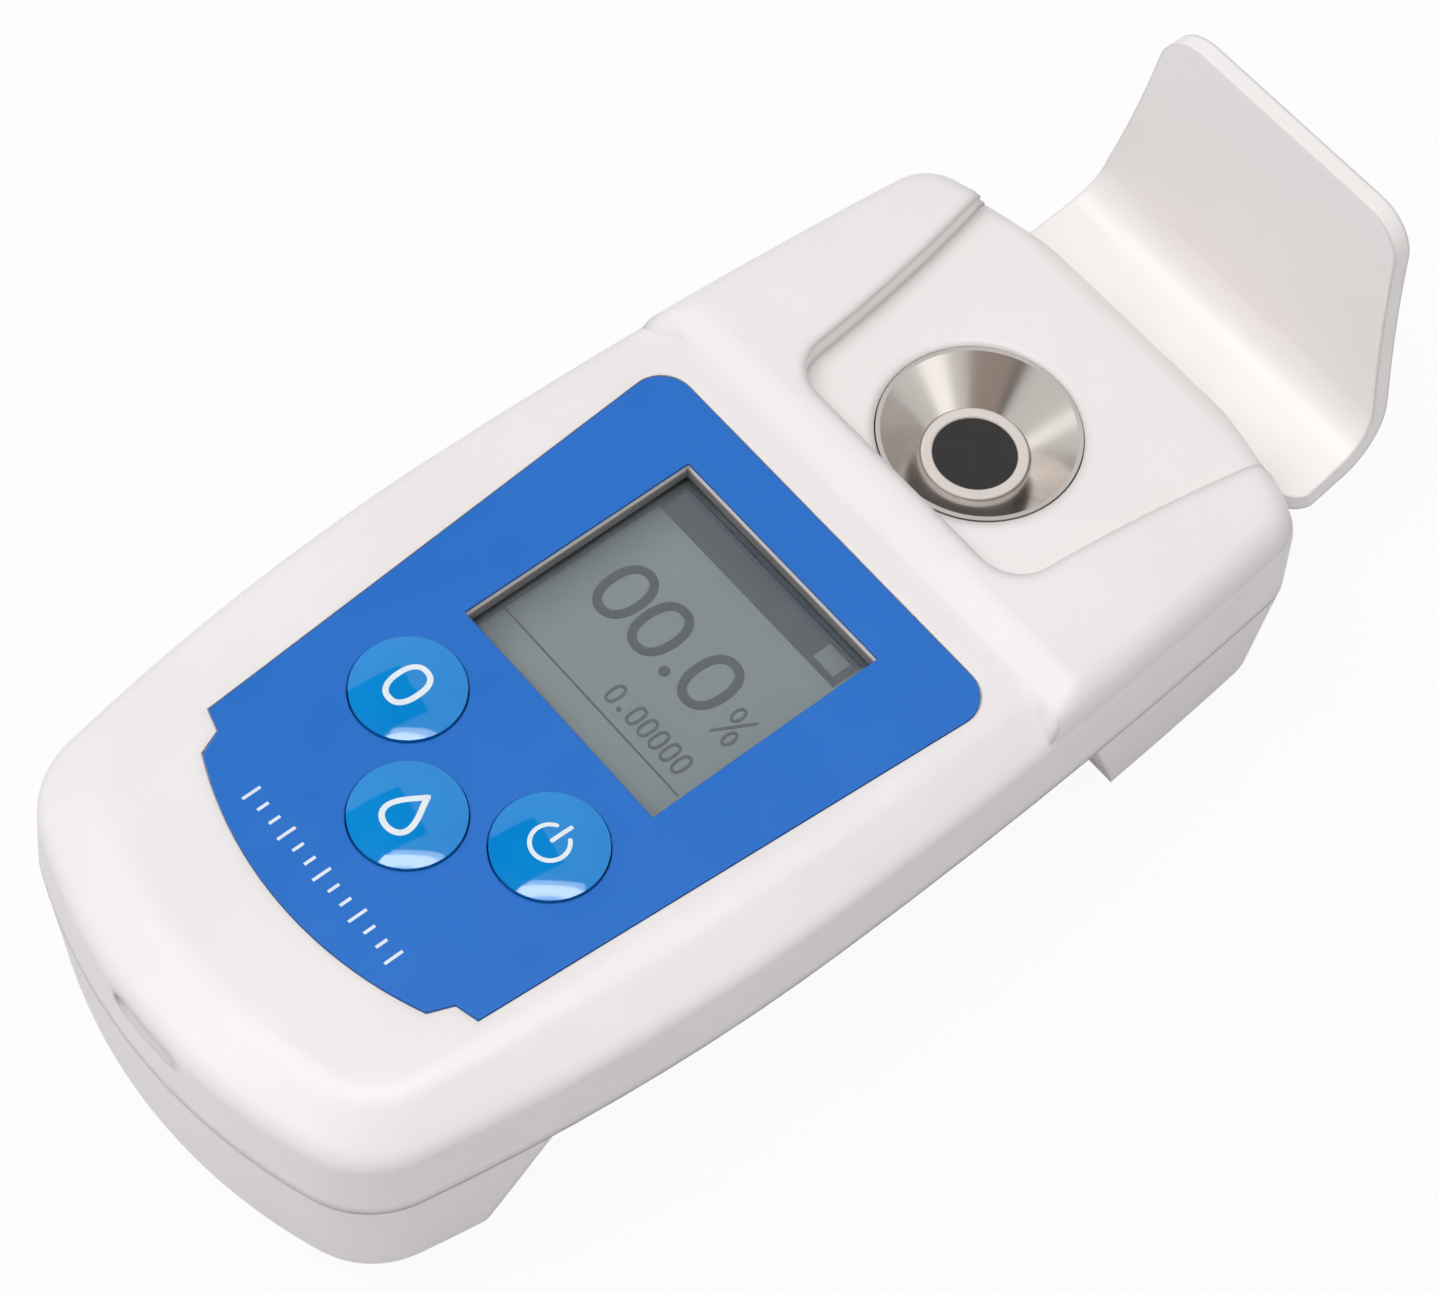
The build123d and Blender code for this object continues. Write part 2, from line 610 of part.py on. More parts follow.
# Battery door: plate with finger grooves at the rear and two hooked tabs at the front
with BuildPart() as battery_door:
    with BuildSketch(Plane.XY.offset(GRIP_Z)):
        with Locations((0, BAY_Y)):
            Rectangle(DOOR_WIDTH, DOOR_LENGTH)
    extrude(amount=DOOR_T)
    for side in (-1, 1):
        with BuildSketch(Plane.YZ.offset(side * DOOR_TAB_X)):
            with BuildLine():
                Polyline(
                    (DOOR_FRONT_Y, GRIP_Z + DOOR_T / 2),
                    (DOOR_FRONT_Y, BAY_FLOOR_Z + LOOSE_GAP),
                    (DOOR_FRONT_Y - DOOR_TAB_L, BAY_FLOOR_Z + LOOSE_GAP),
                    (DOOR_FRONT_Y - DOOR_TAB_L, BAY_FLOOR_Z + LOOSE_GAP + DOOR_TAB_T),
                    (DOOR_FRONT_Y + DOOR_TAB_ROOT, BAY_FLOOR_Z + LOOSE_GAP + DOOR_TAB_T),
                    (DOOR_FRONT_Y + DOOR_TAB_ROOT, GRIP_Z + DOOR_T / 2),
                    close=True,
                )
            make_face()
        extrude(amount=DOOR_TAB_W / 2, both=True)
    with BuildSketch(Plane.XY.offset(GRIP_Z)):
        with Locations((0, DOOR_FRONT_Y + DOOR_LENGTH - DOOR_RIBS_BACK)):
            with GridLocations(DOOR_RIB_PITCH, DOOR_RIB_PITCH, 1, DOOR_RIB_COUNT):
                SlotOverall(DOOR_WIDTH / 2, DOOR_RIB_PITCH / 2)
    extrude(amount=DOOR_RIB_CUT, mode=Mode.SUBTRACT)
finish(battery_door.part, "battery_door")

# Cells
for side, name in ((-1, "left_cell"), (1, "right_cell")):
    with BuildPart() as cell:
        with BuildSketch(Plane.XZ.offset(-(BAY_Y - CELL_LENGTH / 2))):
            with Locations((side * CELL_PITCH / 2, CELL_Z)):
                Circle(CELL_R)
        extrude(amount=-(CELL_LENGTH - CELL_NUB))
        fillet(cell.edges().filter_by(GeomType.CIRCLE), CELL_SOFTEN)
        with BuildSketch(Plane.XZ.offset(-(BAY_Y + CELL_LENGTH / 2 - CELL_NUB))):
            with Locations((side * CELL_PITCH / 2, CELL_Z)):
                Circle(CELL_NUB_R)
        extrude(amount=-CELL_NUB)
    if side > 0:
        turned = cell.part.rotate(Axis((side * CELL_PITCH / 2, BAY_Y, CELL_Z), (0, 0, 1)), 180)
        finish(turned, name)
    else:
        finish(cell.part, name)

# Contacts: a bowed leaf against each cell end
for y_end, facing, name in (
    (BAY_FRONT_Y, 1, "front_contacts"),
    (BAY_REAR_Y, -1, "rear_contacts"),
):
    back_y = y_end + facing * CONTACT_GAP
    front_y = back_y + facing * CONTACT_T
    tip_y = y_end + facing * (CONTACT_ROOM - CONTACT_TOUCH)
    bow_low = CELL_Z - CONTACT_BOW
    bow_high = CELL_Z + CONTACT_BOW
    leaf_low = BAY_FLOOR_Z + CONTACT_GAP
    leaf_high = bow_high + CONTACT_GAP
    with BuildPart() as contacts:
        with BuildSketch(Plane.YZ):
            with BuildLine():
                Line((back_y, leaf_low), (back_y, bow_low))
                ThreePointArc((back_y, bow_low), (tip_y - facing * CONTACT_T, CELL_Z), (back_y, bow_high))
                Polyline((back_y, bow_high), (back_y, leaf_high), (front_y, leaf_high), (front_y, bow_high))
                ThreePointArc((front_y, bow_high), (tip_y, CELL_Z), (front_y, bow_low))
                Polyline((front_y, bow_low), (front_y, leaf_low), (back_y, leaf_low))
            make_face()
        extrude(amount=CELL_PITCH / 2 + CONTACT_HALF, both=True)
        with BuildSketch(Plane.YZ):
            with Locations((BAY_Y, CELL_Z)):
                Rectangle(FAR, FAR)
        extrude(amount=CELL_PITCH / 2 - CONTACT_HALF, both=True, mode=Mode.SUBTRACT)
    finish(contacts.part, name)

# Circuit board
with BuildPart() as main_board:
    with BuildSketch(Plane.XY.offset(BOARD_Z)):
        with Locations((0, (BOARD_FRONT_Y + BOARD_REAR_Y) / 2)):
            RectangleRounded(2 * BOARD_HALF, BOARD_REAR_Y - BOARD_FRONT_Y, BOSS_R)
        with Locations(*BOARD_SCREWS):
            Circle(SCREW_R + FIT_GAP, mode=Mode.SUBTRACT)
    extrude(amount=BOARD_T)
finish(main_board.part, "main_board")


def screw_group(name, places, head_z, sizes):
    """Pan-head screws standing head down at the given places."""
    shank_r, head_r, head_t, length = sizes
    with BuildPart() as screws:
        with BuildSketch(Plane.XY.offset(head_z - head_t)):
            with Locations(*places):
                Circle(head_r)
        extrude(amount=head_t)
        chamfer(screws.edges().group_by(Axis.Z)[0], head_t / HEAD_CHAMFER_SHARE)
        with BuildSketch(Plane.XY.offset(head_z)):
            with Locations(*places):
                Circle(shank_r)
        extrude(amount=length)
    finish(screws.part, name)


screw_group(
    "board_screws", BOARD_SCREWS, BOARD_Z, (SCREW_R, SCREW_HEAD_R, SCREW_HEAD_T, BOARD_T + SCREW_GRIP - 1)
)
screw_group(
    "case_screws",
    CASE_SCREWS,
    CASE_COUNTERBORE,
    (CASE_SCREW_R, CASE_HEAD_R, CASE_HEAD_T, CASE_SCREW_LENGTH),
)

# Display: tray, backlight, glass and the clear lens over it
with BuildPart() as display_frame:
    with BuildSketch(Plane.XY.offset(BOARD_TOP_Z)):
        with Locations((0, WINDOW_Y)):
            Rectangle(
                WINDOW_W + 2 * DISPLAY_MARGIN + 2 * FRAME_T,
                WINDOW_L + 2 * DISPLAY_MARGIN + 2 * FRAME_T,
            )
    extrude(amount=DISPLAY_H)
    with BuildSketch(Plane.XY.offset(BOARD_TOP_Z + FRAME_T)):
        with Locations((0, WINDOW_Y)):
            Rectangle(WINDOW_W + 2 * DISPLAY_MARGIN, WINDOW_L + 2 * DISPLAY_MARGIN)
    extrude(amount=DISPLAY_H, mode=Mode.SUBTRACT)
finish(display_frame.part, "display_frame")

for name, low, thick, room in (
    ("display_backlight", BOARD_TOP_Z + FRAME_T, BACKLIGHT_T, FIT_GAP),
    ("display_glass", BOARD_TOP_Z + DISPLAY_H - GLASS_T, GLASS_T, FIT_GAP),
    ("display_lens", LENS_TOP_Z - LENS_T, LENS_T, 0),
):
    with BuildPart() as layer:
        with BuildSketch(Plane.XY.offset(low)):
            with Locations((0, WINDOW_Y)):
                Rectangle(WINDOW_W + 2 * (DISPLAY_MARGIN - room), WINDOW_L + 2 * (DISPLAY_MARGIN - room))
        extrude(amount=thick)
    finish(layer.part, name)

# Key panel
with BuildPart() as key_panel:
    extrude(panel_outline(DECK_Z - PANEL_SINK), amount=PANEL_T)
    with BuildSketch(Plane.XY.offset(DECK_Z - PANEL_SINK)):
        with Locations((0, WINDOW_Y)):
            Rectangle(WINDOW_W, WINDOW_L)
        with Locations(*KEYS.values()):
            Circle(KEY_R + FIT_GAP)
    extrude(amount=PANEL_T, mode=Mode.SUBTRACT)
finish(key_panel.part, "key_panel")

# Domed keys and the switch under each
for name, (x, y) in KEYS.items():
    with BuildPart() as key:
        with BuildSketch(Plane.XZ):
            with BuildLine():
                Polyline(
                    (0, KEY_STEM_Z),
                    (KEY_STEM_R, KEY_STEM_Z),
                    (KEY_STEM_R, KEY_RIM_Z - KEY_RIM_T),
                    (KEY_R + KEY_RIM, KEY_RIM_Z - KEY_RIM_T),
                    (KEY_R + KEY_RIM, KEY_RIM_Z),
                    (KEY_R, KEY_RIM_Z),
                    (KEY_R, PANEL_TOP_Z + KEY_STAND),
                )
                TangentArc(
                    (0, PANEL_TOP_Z + KEY_STAND + KEY_DOME),
                    (KEY_R, PANEL_TOP_Z + KEY_STAND),
                    tangent=(1, 0),
                )
                Line((0, PANEL_TOP_Z + KEY_STAND + KEY_DOME), (0, KEY_STEM_Z))
            make_face()
        revolve(axis=Axis.Z)
    finish(key.part.moved(Location((x, y, 0))), name)
    with BuildPart(Plane.XY.offset(BOARD_TOP_Z)) as switch:
        with Locations((x, y)):
            Box(SWITCH_SIZE, SWITCH_SIZE, SWITCH_H, align=(Align.CENTER, Align.CENTER, Align.MIN))
        chamfer(switch.edges().filter_by(Axis.Z), SWITCH_CHAMFER)
        with BuildSketch(Plane.XY.offset(BOARD_TOP_Z + SWITCH_H)):
            with Locations((x, y)):
                Circle(PLUNGER_R)
        extrude(amount=KEY_STEM_Z - KEY_TRAVEL - FIT_GAP - BOARD_TOP_Z - SWITCH_H)
    finish(switch.part, name.replace("key", "switch"))

# Sample well: rim, polished cone and the sleeve below it
with BuildPart() as sample_well:
    with BuildSketch(Plane.XZ):
        with BuildLine():
            Polyline(
                (SEAL_R + CLOSE_GAP, WELL_BASE_Z),
                (WELL_R, WELL_BASE_Z),
                (WELL_R, SEAT_Z + WELL_STAND),
                (WELL_R - WELL_RIM, SEAT_Z + WELL_STAND),
                (SEAL_R + CLOSE_GAP, PRISM_Z),
                close=True,
            )
        make_face()
    revolve(axis=Axis.Z)
finish(sample_well.part.moved(Location((0, WELL_Y, 0))), "sample_well")

with BuildPart() as prism_seal:
    with BuildSketch(Plane.XY.offset(WELL_BASE_Z)):
        Circle(SEAL_R)
        Circle(PRISM_R + PIN_SEAT, mode=Mode.SUBTRACT)
    extrude(amount=PRISM_Z + SEAL_STAND - WELL_BASE_Z)
    fillet(prism_seal.edges().group_by(Axis.Z)[-1], SEAL_STAND)
finish(prism_seal.part.moved(Location((0, WELL_Y, 0))), "prism_seal")

# Prism: a round window over a wedge whose sloping flanks let the light in and out
with BuildPart() as prism:
    with BuildSketch(Plane.XY.offset(WELL_BASE_Z - PRISM_FOOT)):
        Circle(PRISM_R)
    extrude(amount=PRISM_Z - WELL_BASE_Z + PRISM_FOOT)
    with BuildSketch(Plane.YZ.offset(-PRISM_R)):
        with BuildLine():
            Polyline(
                (-PRISM_R, WELL_BASE_Z - PRISM_FOOT),
                (PRISM_R, WELL_BASE_Z - PRISM_FOOT),
                (PRISM_TIP_R, PRISM_TIP_Z),
                (-PRISM_TIP_R, PRISM_TIP_Z),
                close=True,
            )
        make_face()
    extrude(amount=2 * PRISM_R)
finish(prism.part.moved(Location((0, WELL_Y, 0))), "prism")

# Optical block: dark housing that carries the well, prism, lamp, lens and sensor
with BuildPart() as optical_block:
    with BuildSketch(Plane.XY.offset(BLOCK_Z)):
        with Locations((0, (BLOCK_FRONT_Y + BLOCK_REAR_Y) / 2)):
            RectangleRounded(2 * BLOCK_HALF, BLOCK_REAR_Y - BLOCK_FRONT_Y, BOSS_R)
    extrude(amount=WELL_BASE_Z - BLOCK_Z)
    with BuildSketch(Plane.XY.offset(PRISM_TIP_Z - LOOSE_GAP)):
        with Locations((0, WELL_Y)):
            Rectangle(2 * PRISM_R + LOOSE_GAP, 2 * PRISM_R + LOOSE_GAP)
    extrude(amount=FAR, mode=Mode.SUBTRACT)
    with BuildSketch(Plane.XZ.offset(-BLOCK_FRONT_Y)):
        with Locations((0, LAMP_Z + LAMP_R)):
            Circle(LAMP_R + FIT_GAP)
    extrude(amount=-(WELL_Y - PRISM_R / 2 - BLOCK_FRONT_Y), mode=Mode.SUBTRACT)
    with BuildSketch(Plane.XZ.offset(-BLOCK_REAR_Y)):
        with Locations((0, LAMP_Z + LAMP_R)):
            Rectangle(SENSOR_W + 2 * FIT_GAP, SENSOR_H + 2 * FIT_GAP)
    extrude(amount=BLOCK_REAR_Y - WELL_Y - PRISM_R / 2, mode=Mode.SUBTRACT)
finish(optical_block.part, "optical_block")

with BuildPart() as lamp:
    with BuildSketch(Plane.XZ.offset(-(BLOCK_FRONT_Y - LAMP_FLANGE))):
        with Locations((0, LAMP_Z + LAMP_R)):
            Circle(LAMP_R + LOOSE_GAP)
    extrude(amount=-LAMP_FLANGE)
    with BuildSketch(Plane.XZ.offset(-BLOCK_FRONT_Y)):
        with Locations((0, LAMP_Z + LAMP_R)):
            Circle(LAMP_R)
    extrude(amount=-LAMP_LENGTH)
    fillet(lamp.edges().sort_by(Axis.Y)[-1], LAMP_DOME)
finish(lamp.part, "lamp")

with BuildPart() as sensor_board:
    with BuildSketch(Plane.XZ.offset(-BLOCK_REAR_Y)):
        with Locations((0, LAMP_Z + LAMP_R)):
            Rectangle(SENSOR_W + SENSOR_SPARE_W, WELL_BASE_Z - BLOCK_Z - SENSOR_SHORT_H)
    extrude(amount=-SENSOR_BOARD_T)
finish(sensor_board.part, "sensor_board")

with BuildPart() as light_sensor:
    with BuildSketch(Plane.XZ.offset(-BLOCK_REAR_Y)):
        with Locations((0, LAMP_Z + LAMP_R)):
            Rectangle(SENSOR_W, SENSOR_H)
    extrude(amount=SENSOR_T)
finish(light_sensor.part, "light_sensor")

# Hinge pin
with BuildPart() as hinge_pin:
    with BuildSketch(Plane.YZ.offset(-PIN_HALF)):
        with Locations((HINGE_Y, HINGE_Z)):
            Circle(PIN_R)
    extrude(amount=2 * PIN_HALF)
    chamfer(hinge_pin.edges().filter_by(GeomType.CIRCLE), PIN_CHAMFER)
finish(hinge_pin.part, "hinge_pin")

# Lid, standing open: a heel that runs back from the hinge and a leaf that stands up
with BuildPart() as lid:
    with BuildSketch(Plane.YZ) as lid_profile:
        with BuildLine():
            Polyline(
                (LID_HEEL_Y, LID_HEEL_Z),
                (LID_FACE_Y, LID_CORNER_Z),
                (LID_FACE_Y, LID_TOP_Z),
                (LID_FACE_Y + LID_T, LID_TOP_Z),
                (LID_FACE_Y + LID_T, LID_CORNER_Z - LID_T),
                (LID_HEEL_Y, LID_HEEL_Z - LID_T),
                close=True,
            )
        make_face()
        inner = lid_profile.vertices().sort_by_distance((LID_FACE_Y, LID_CORNER_Z))[0]
        fillet(inner, LID_BEND)
        outer = lid_profile.vertices().sort_by_distance((LID_FACE_Y + LID_T, LID_CORNER_Z - LID_T))[0]
        fillet(outer, LID_BEND + LID_T)
    extrude(amount=FAR / 2, both=True)
    with BuildSketch(Plane.XZ) as leaf_outline:
        with BuildLine():
            Polyline(
                (0, 0),
                (LID_HEEL_HALF, 0),
                (LID_HEEL_HALF, LID_HEEL_Z - LID_T),
                (LID_BEND_HALF, LID_CORNER_Z + LID_BEND),
            )
            ThreePointArc(
                (LID_BEND_HALF, LID_CORNER_Z + LID_BEND),
                (LID_MID_HALF, LID_MID_Z),
                (LID_TIP_HALF, LID_TOP_Z),
            )
            Line((LID_TIP_HALF, LID_TOP_Z), (0, LID_TOP_Z))
            mirror(about=Plane.YZ)
        make_face()
        fillet(leaf_outline.vertices().group_by(Axis.Y)[-1], LID_TIP_CORNER)
    extrude(amount=-FAR, mode=Mode.INTERSECT)
    with BuildSketch(Plane.XY) as heel_outline:
        with BuildLine():
            Polyline(
                (0, LID_HEEL_Y),
                (LID_HEEL_HALF, LID_HEEL_Y),
                (LID_HEEL_HALF, FAR),
                (0, FAR),
            )
            mirror(about=Plane.YZ)
        make_face()
        fillet(heel_outline.vertices().group_by(Axis.Y)[0], LID_HEEL_CORNER)
    extrude(amount=FAR, mode=Mode.INTERSECT)
    with BuildSketch(Plane.YZ.offset(-BARREL_HALF)):
        with Locations((HINGE_Y, HINGE_Z)):
            Circle(BARREL_R)
        with BuildLine():
            Polyline(
                (HINGE_Y, HINGE_Z + BARREL_R),
                (HINGE_Y, HINGE_Z - BARREL_R),
                (LID_HEEL_Y + BARREL_WEB, LID_HEEL_Z - LID_T),
                (LID_HEEL_Y + BARREL_WEB, LID_HEEL_Z),
                close=True,
            )
        make_face()
    extrude(amount=2 * BARREL_HALF)
    with BuildSketch(Plane.YZ.offset(-BARREL_HALF)):
        with Locations((HINGE_Y, HINGE_Z)):
            Circle(PIN_R + PIN_RUN)
    extrude(amount=2 * BARREL_HALF, mode=Mode.SUBTRACT)
finish(lid.part, "lid")
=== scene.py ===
import math
import bmesh
import bpy
from mathutils import Matrix, Vector
from mathutils.bvhtree import BVHTree


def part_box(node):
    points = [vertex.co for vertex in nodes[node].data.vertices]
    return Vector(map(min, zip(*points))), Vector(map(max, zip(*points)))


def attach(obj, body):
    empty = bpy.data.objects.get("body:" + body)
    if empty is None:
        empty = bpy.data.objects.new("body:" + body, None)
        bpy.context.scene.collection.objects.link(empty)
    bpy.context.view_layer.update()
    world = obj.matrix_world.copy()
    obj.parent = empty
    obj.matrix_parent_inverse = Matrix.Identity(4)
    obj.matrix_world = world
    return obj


MM = 0.001

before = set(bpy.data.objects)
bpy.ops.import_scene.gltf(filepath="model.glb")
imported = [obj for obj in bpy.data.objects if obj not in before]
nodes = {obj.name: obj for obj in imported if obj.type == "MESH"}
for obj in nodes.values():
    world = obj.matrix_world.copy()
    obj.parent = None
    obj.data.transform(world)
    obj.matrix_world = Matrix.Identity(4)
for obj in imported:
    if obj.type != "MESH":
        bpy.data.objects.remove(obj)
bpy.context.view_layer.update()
scene = bpy.context.scene
scene.view_settings.view_transform = "Standard"


def middle(name):
    """A node's middle seen from above, in mm, to the hundredth, which its facets don't disturb."""
    low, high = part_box(name)
    return [round((low[i] + high[i]) / 2 / MM, 2) for i in (0, 1)]


def top(name):
    """The height of a node's highest point, in mm."""
    return round(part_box(name)[1].z / MM, 2)


# Camera: the photograph's own view, fitted on the keys, the window and the label
PHOTO_W = 1438
FOCAL_PX = 3804.7
CAMERA_PLACE = Vector((141.5, -149.3, 360.3)) * MM
CAMERA_RIGHT = Vector((0.6421, 0.7639, 0.0646))
CAMERA_DOWN = Vector((0.6783, -0.5269, -0.5121))
SENSOR = 36.0
CLIP_NEAR = 0.01
CLIP_FAR = 20


def place_camera():
    """Sets the camera square on its own two axes and gives it the photograph's width of view."""
    eye = bpy.data.cameras.new("photo_camera")
    eye.sensor_width = SENSOR
    eye.lens = FOCAL_PX * SENSOR / PHOTO_W
    eye.clip_start = CLIP_NEAR
    eye.clip_end = CLIP_FAR
    held = bpy.data.objects.new("photo_camera", eye)
    right = CAMERA_RIGHT.normalized()
    down = (CAMERA_DOWN - right * CAMERA_DOWN.dot(right)).normalized()
    ahead = right.cross(down)
    held.matrix_world = Matrix.Translation(CAMERA_PLACE) @ Matrix(
        (right, -down, -ahead)).transposed().to_4x4()
    scene.collection.objects.link(held)
    scene.camera = held


place_camera()


# Materials: colours are sRGB hex, sizes are millimetres
def linear(code):
    """An sRGB hex colour as the linear colour that the shader takes."""
    parts = [int(code[i:i + 2], 16) / 255 for i in (1, 3, 5)]
    return [c / 12.92 if c <= 0.04045 else ((c + 0.055) / 1.055) ** 2.4 for c in parts] + [1]


def per_mm(size):
    """Texture scale for a pattern whose cells are this many millimetres apart."""
    return 1 / (size * MM)


def add(tree, kind, feeds=(), **settings):
    """Adds one node. Feeds go to its sockets, as values or as the outputs they come from."""
    made = tree.nodes.new(kind)
    for key, value in settings.items():
        setattr(made, key, value)
    for socket, value in dict(feeds).items():
        if isinstance(value, bpy.types.NodeSocket):
            tree.links.new(value, made.inputs[socket])
        else:
            made.inputs[socket].default_value = value
    return made


def start_finish(name):
    """An empty material, its node tree and the place on the piece, which every pattern follows."""
    made = bpy.data.materials.new(name)
    made.use_nodes = True
    tree = made.node_tree
    tree.nodes.clear()
    place = add(tree, "ShaderNodeTexCoord").outputs["Object"]
    return made, tree, place


def close_finish(tree, shader):
    """Gives the material its finished surface."""
    add(tree, "ShaderNodeOutputMaterial", {"Surface": shader})


def clouds(tree, place, size, detail=2.0):
    """Soft patches of about this size."""
    return add(tree, "ShaderNodeTexNoise", {
        "Vector": place, "Scale": per_mm(size), "Detail": detail}).outputs["Fac"]


def two_tones(tree, patches, tones, spread):
    """Two near tones over the patches; a narrow spread divides them more sharply."""
    ramp = add(tree, "ShaderNodeValToRGB", {"Fac": patches})
    for end, tone, side in zip(ramp.color_ramp.elements, tones, (-1, 1)):
        end.position = 0.5 + side * spread
        end.color = linear(tone)
    return ramp.outputs["Color"]


# Moulded plastic: tone drifts over the part, handling varies the gloss, edges are a little round
TONE_DRIFT = 22
TONE_SPREAD = 0.15
HANDLING = 5
EDGE_SOFT = 0.25
GRAIN_SHOW = 0.5


def moulded_plastic(name, tones, rough, grain, height, ior, soften=EDGE_SOFT):
    """Two near tones in soft clouds, a satin gloss between two values, the tool's fine grain."""
    made, tree, place = start_finish(name)
    tone = two_tones(tree, clouds(tree, place, TONE_DRIFT, detail=3.0), tones, TONE_SPREAD)
    gloss = add(tree, "ShaderNodeMapRange", {
        "Value": clouds(tree, place, HANDLING, detail=4.0),
        "From Min": 0.5 - TONE_SPREAD, "From Max": 0.5 + TONE_SPREAD,
        "To Min": rough[0], "To Max": rough[1]})
    rounded = add(tree, "ShaderNodeBevel", {"Radius": soften * MM}, samples=6)
    bump = add(tree, "ShaderNodeBump", {
        "Height": clouds(tree, place, grain), "Strength": GRAIN_SHOW, "Distance": height * MM,
        "Normal": rounded.outputs["Normal"]})
    body = add(tree, "ShaderNodeBsdfPrincipled", {
        "Base Color": tone, "Roughness": gloss.outputs["Result"],
        "IOR": ior, "Normal": bump.outputs["Normal"]})
    close_finish(tree, body.outputs["BSDF"])
    return made


# ABS, injection moulded in a finely spark-eroded tool: white, soft satin, warm by a hair
abs_white = moulded_plastic(
    "abs_white_moulded", ("#F1ECEB", "#F4F0EF"), rough=(0.36, 0.44),
    grain=0.5, height=0.004, ior=1.53, soften=2.2)
# The same ABS on the lower shell: a hair greyer, which is painted shade, its edges crisper
abs_lower_painted_shade = moulded_plastic(
    "abs_lower_shell_painted_shade", ("#EEE9E8", "#F2EEED"), rough=(0.38, 0.46),
    grain=0.5, height=0.005, ior=1.53, soften=0.8)
# ABS lid: a smoother tool gives the inner face a little more gloss, and its white is painted a little
# lighter than the shell's, as painted light
abs_lid_painted_light = moulded_plastic(
    "abs_lid_painted_light_finish", ("#F8F3F1", "#FAF6F5"), rough=(0.32, 0.40),
    grain=0.6, height=0.003, ior=1.53, soften=0.7)
# Polyester film, screen printed blue from behind: even satin colour with a very fine texture
polyester_label = moulded_plastic(
    "polyester_label_printed", ("#116CC9", "#146FCC"), rough=(0.34, 0.40),
    grain=0.4, height=0.002, ior=1.40)
# POM switch bodies, moulded black: dull satin
pom_black = moulded_plastic(
    "pom_switch_moulded", ("#1A1A1C", "#212124"), rough=(0.42, 0.52),
    grain=0.4, height=0.004, ior=1.48)
# Silicone rubber seal, compression moulded: milky white, soft sheen
silicone_seal = moulded_plastic(
    "silicone_seal_moulded", ("#D8D0CA", "#DFD8D3"), rough=(0.38, 0.48),
    grain=0.3, height=0.003, ior=1.41)
# ABS optical block, moulded black and left matt so that no stray light comes back
abs_black = moulded_plastic(
    "abs_block_black_matt", ("#151516", "#1C1C1E"), rough=(0.62, 0.72),
    grain=0.4, height=0.008, ior=1.53)
# PMMA light guide, moulded and frosted: pale and even
pmma_frosted = moulded_plastic(
    "pmma_guide_frosted", ("#DDE2DC", "#E6EAE4"), rough=(0.50, 0.58),
    grain=0.3, height=0.004, ior=1.49)
# Epoxy lens of the lamp, cast: amber and wet looking
epoxy_lamp = moulded_plastic(
    "epoxy_lamp_cast", ("#E0C27A", "#E8CC8A"), rough=(0.08, 0.12),
    grain=0.5, height=0.001, ior=1.50)
# PVC sleeve shrunk on the cells: dark, glossy, slightly uneven
pvc_sleeve = moulded_plastic(
    "pvc_cell_sleeve_shrunk", ("#23242A", "#2B2C33"), rough=(0.20, 0.30),
    grain=1.2, height=0.010, ior=1.54)
# Dark grey, dead matt, open-pored: painted shade laid over the walls of the display opening
window_wall_painted_shade = moulded_plastic(
    "window_wall_painted_shade_matt", ("#7C797A", "#868384"), rough=(0.85, 0.95),
    grain=0.3, height=0.03, ior=1.4)

# Circuit board: traces on a grid of 1.27 mm
TRACE_PITCH = 1.27
TRACE_GAP = 0.08
TRACE_RISE = 0.03


def circuit_board():
    """Fibreglass with green solder mask: glossy lacquer over traces that stand a little proud."""
    made, tree, place = start_finish("fibreglass_board_solder_mask")
    traces = add(tree, "ShaderNodeTexBrick", {
        "Vector": place, "Scale": per_mm(TRACE_PITCH), "Mortar Size": TRACE_GAP,
        "Color1": linear("#0E4A2A"), "Color2": linear("#125232"), "Mortar": linear("#1C6B43")})
    lift = add(tree, "ShaderNodeBump", {
        "Height": traces.outputs["Fac"], "Strength": 0.4, "Distance": TRACE_RISE * MM})
    lacquer = add(tree, "ShaderNodeBsdfPrincipled", {
        "Base Color": traces.outputs["Color"], "Roughness": 0.28, "IOR": 1.5,
        "Coat Weight": 0.4, "Coat Roughness": 0.12, "Normal": lift.outputs["Normal"]})
    close_finish(tree, lacquer.outputs["BSDF"])
    return made


# Metal: the depth of the cut's lines is in mm, and how far they show is the same for all
CUT_SHOW = 0.35


def cut_metal(name, tone, rough, height, pattern):
    """Bare metal. The pattern adds its lines to the tree, and what it asks of the shader's gloss."""
    made, tree, place = start_finish(name)
    lines, gloss = pattern(tree, place)
    bump = add(tree, "ShaderNodeBump", {
        "Height": lines, "Strength": CUT_SHOW, "Distance": height * MM})
    metal = add(tree, "ShaderNodeBsdfPrincipled", {
        "Base Color": linear(tone), "Metallic": 1.0, "Roughness": rough,
        "Normal": bump.outputs["Normal"], **gloss})
    close_finish(tree, metal.outputs["BSDF"])
    return made


def streaks(size):
    """Fine streaks of grinding or plating."""
    return lambda tree, place: (clouds(tree, place, size), {})


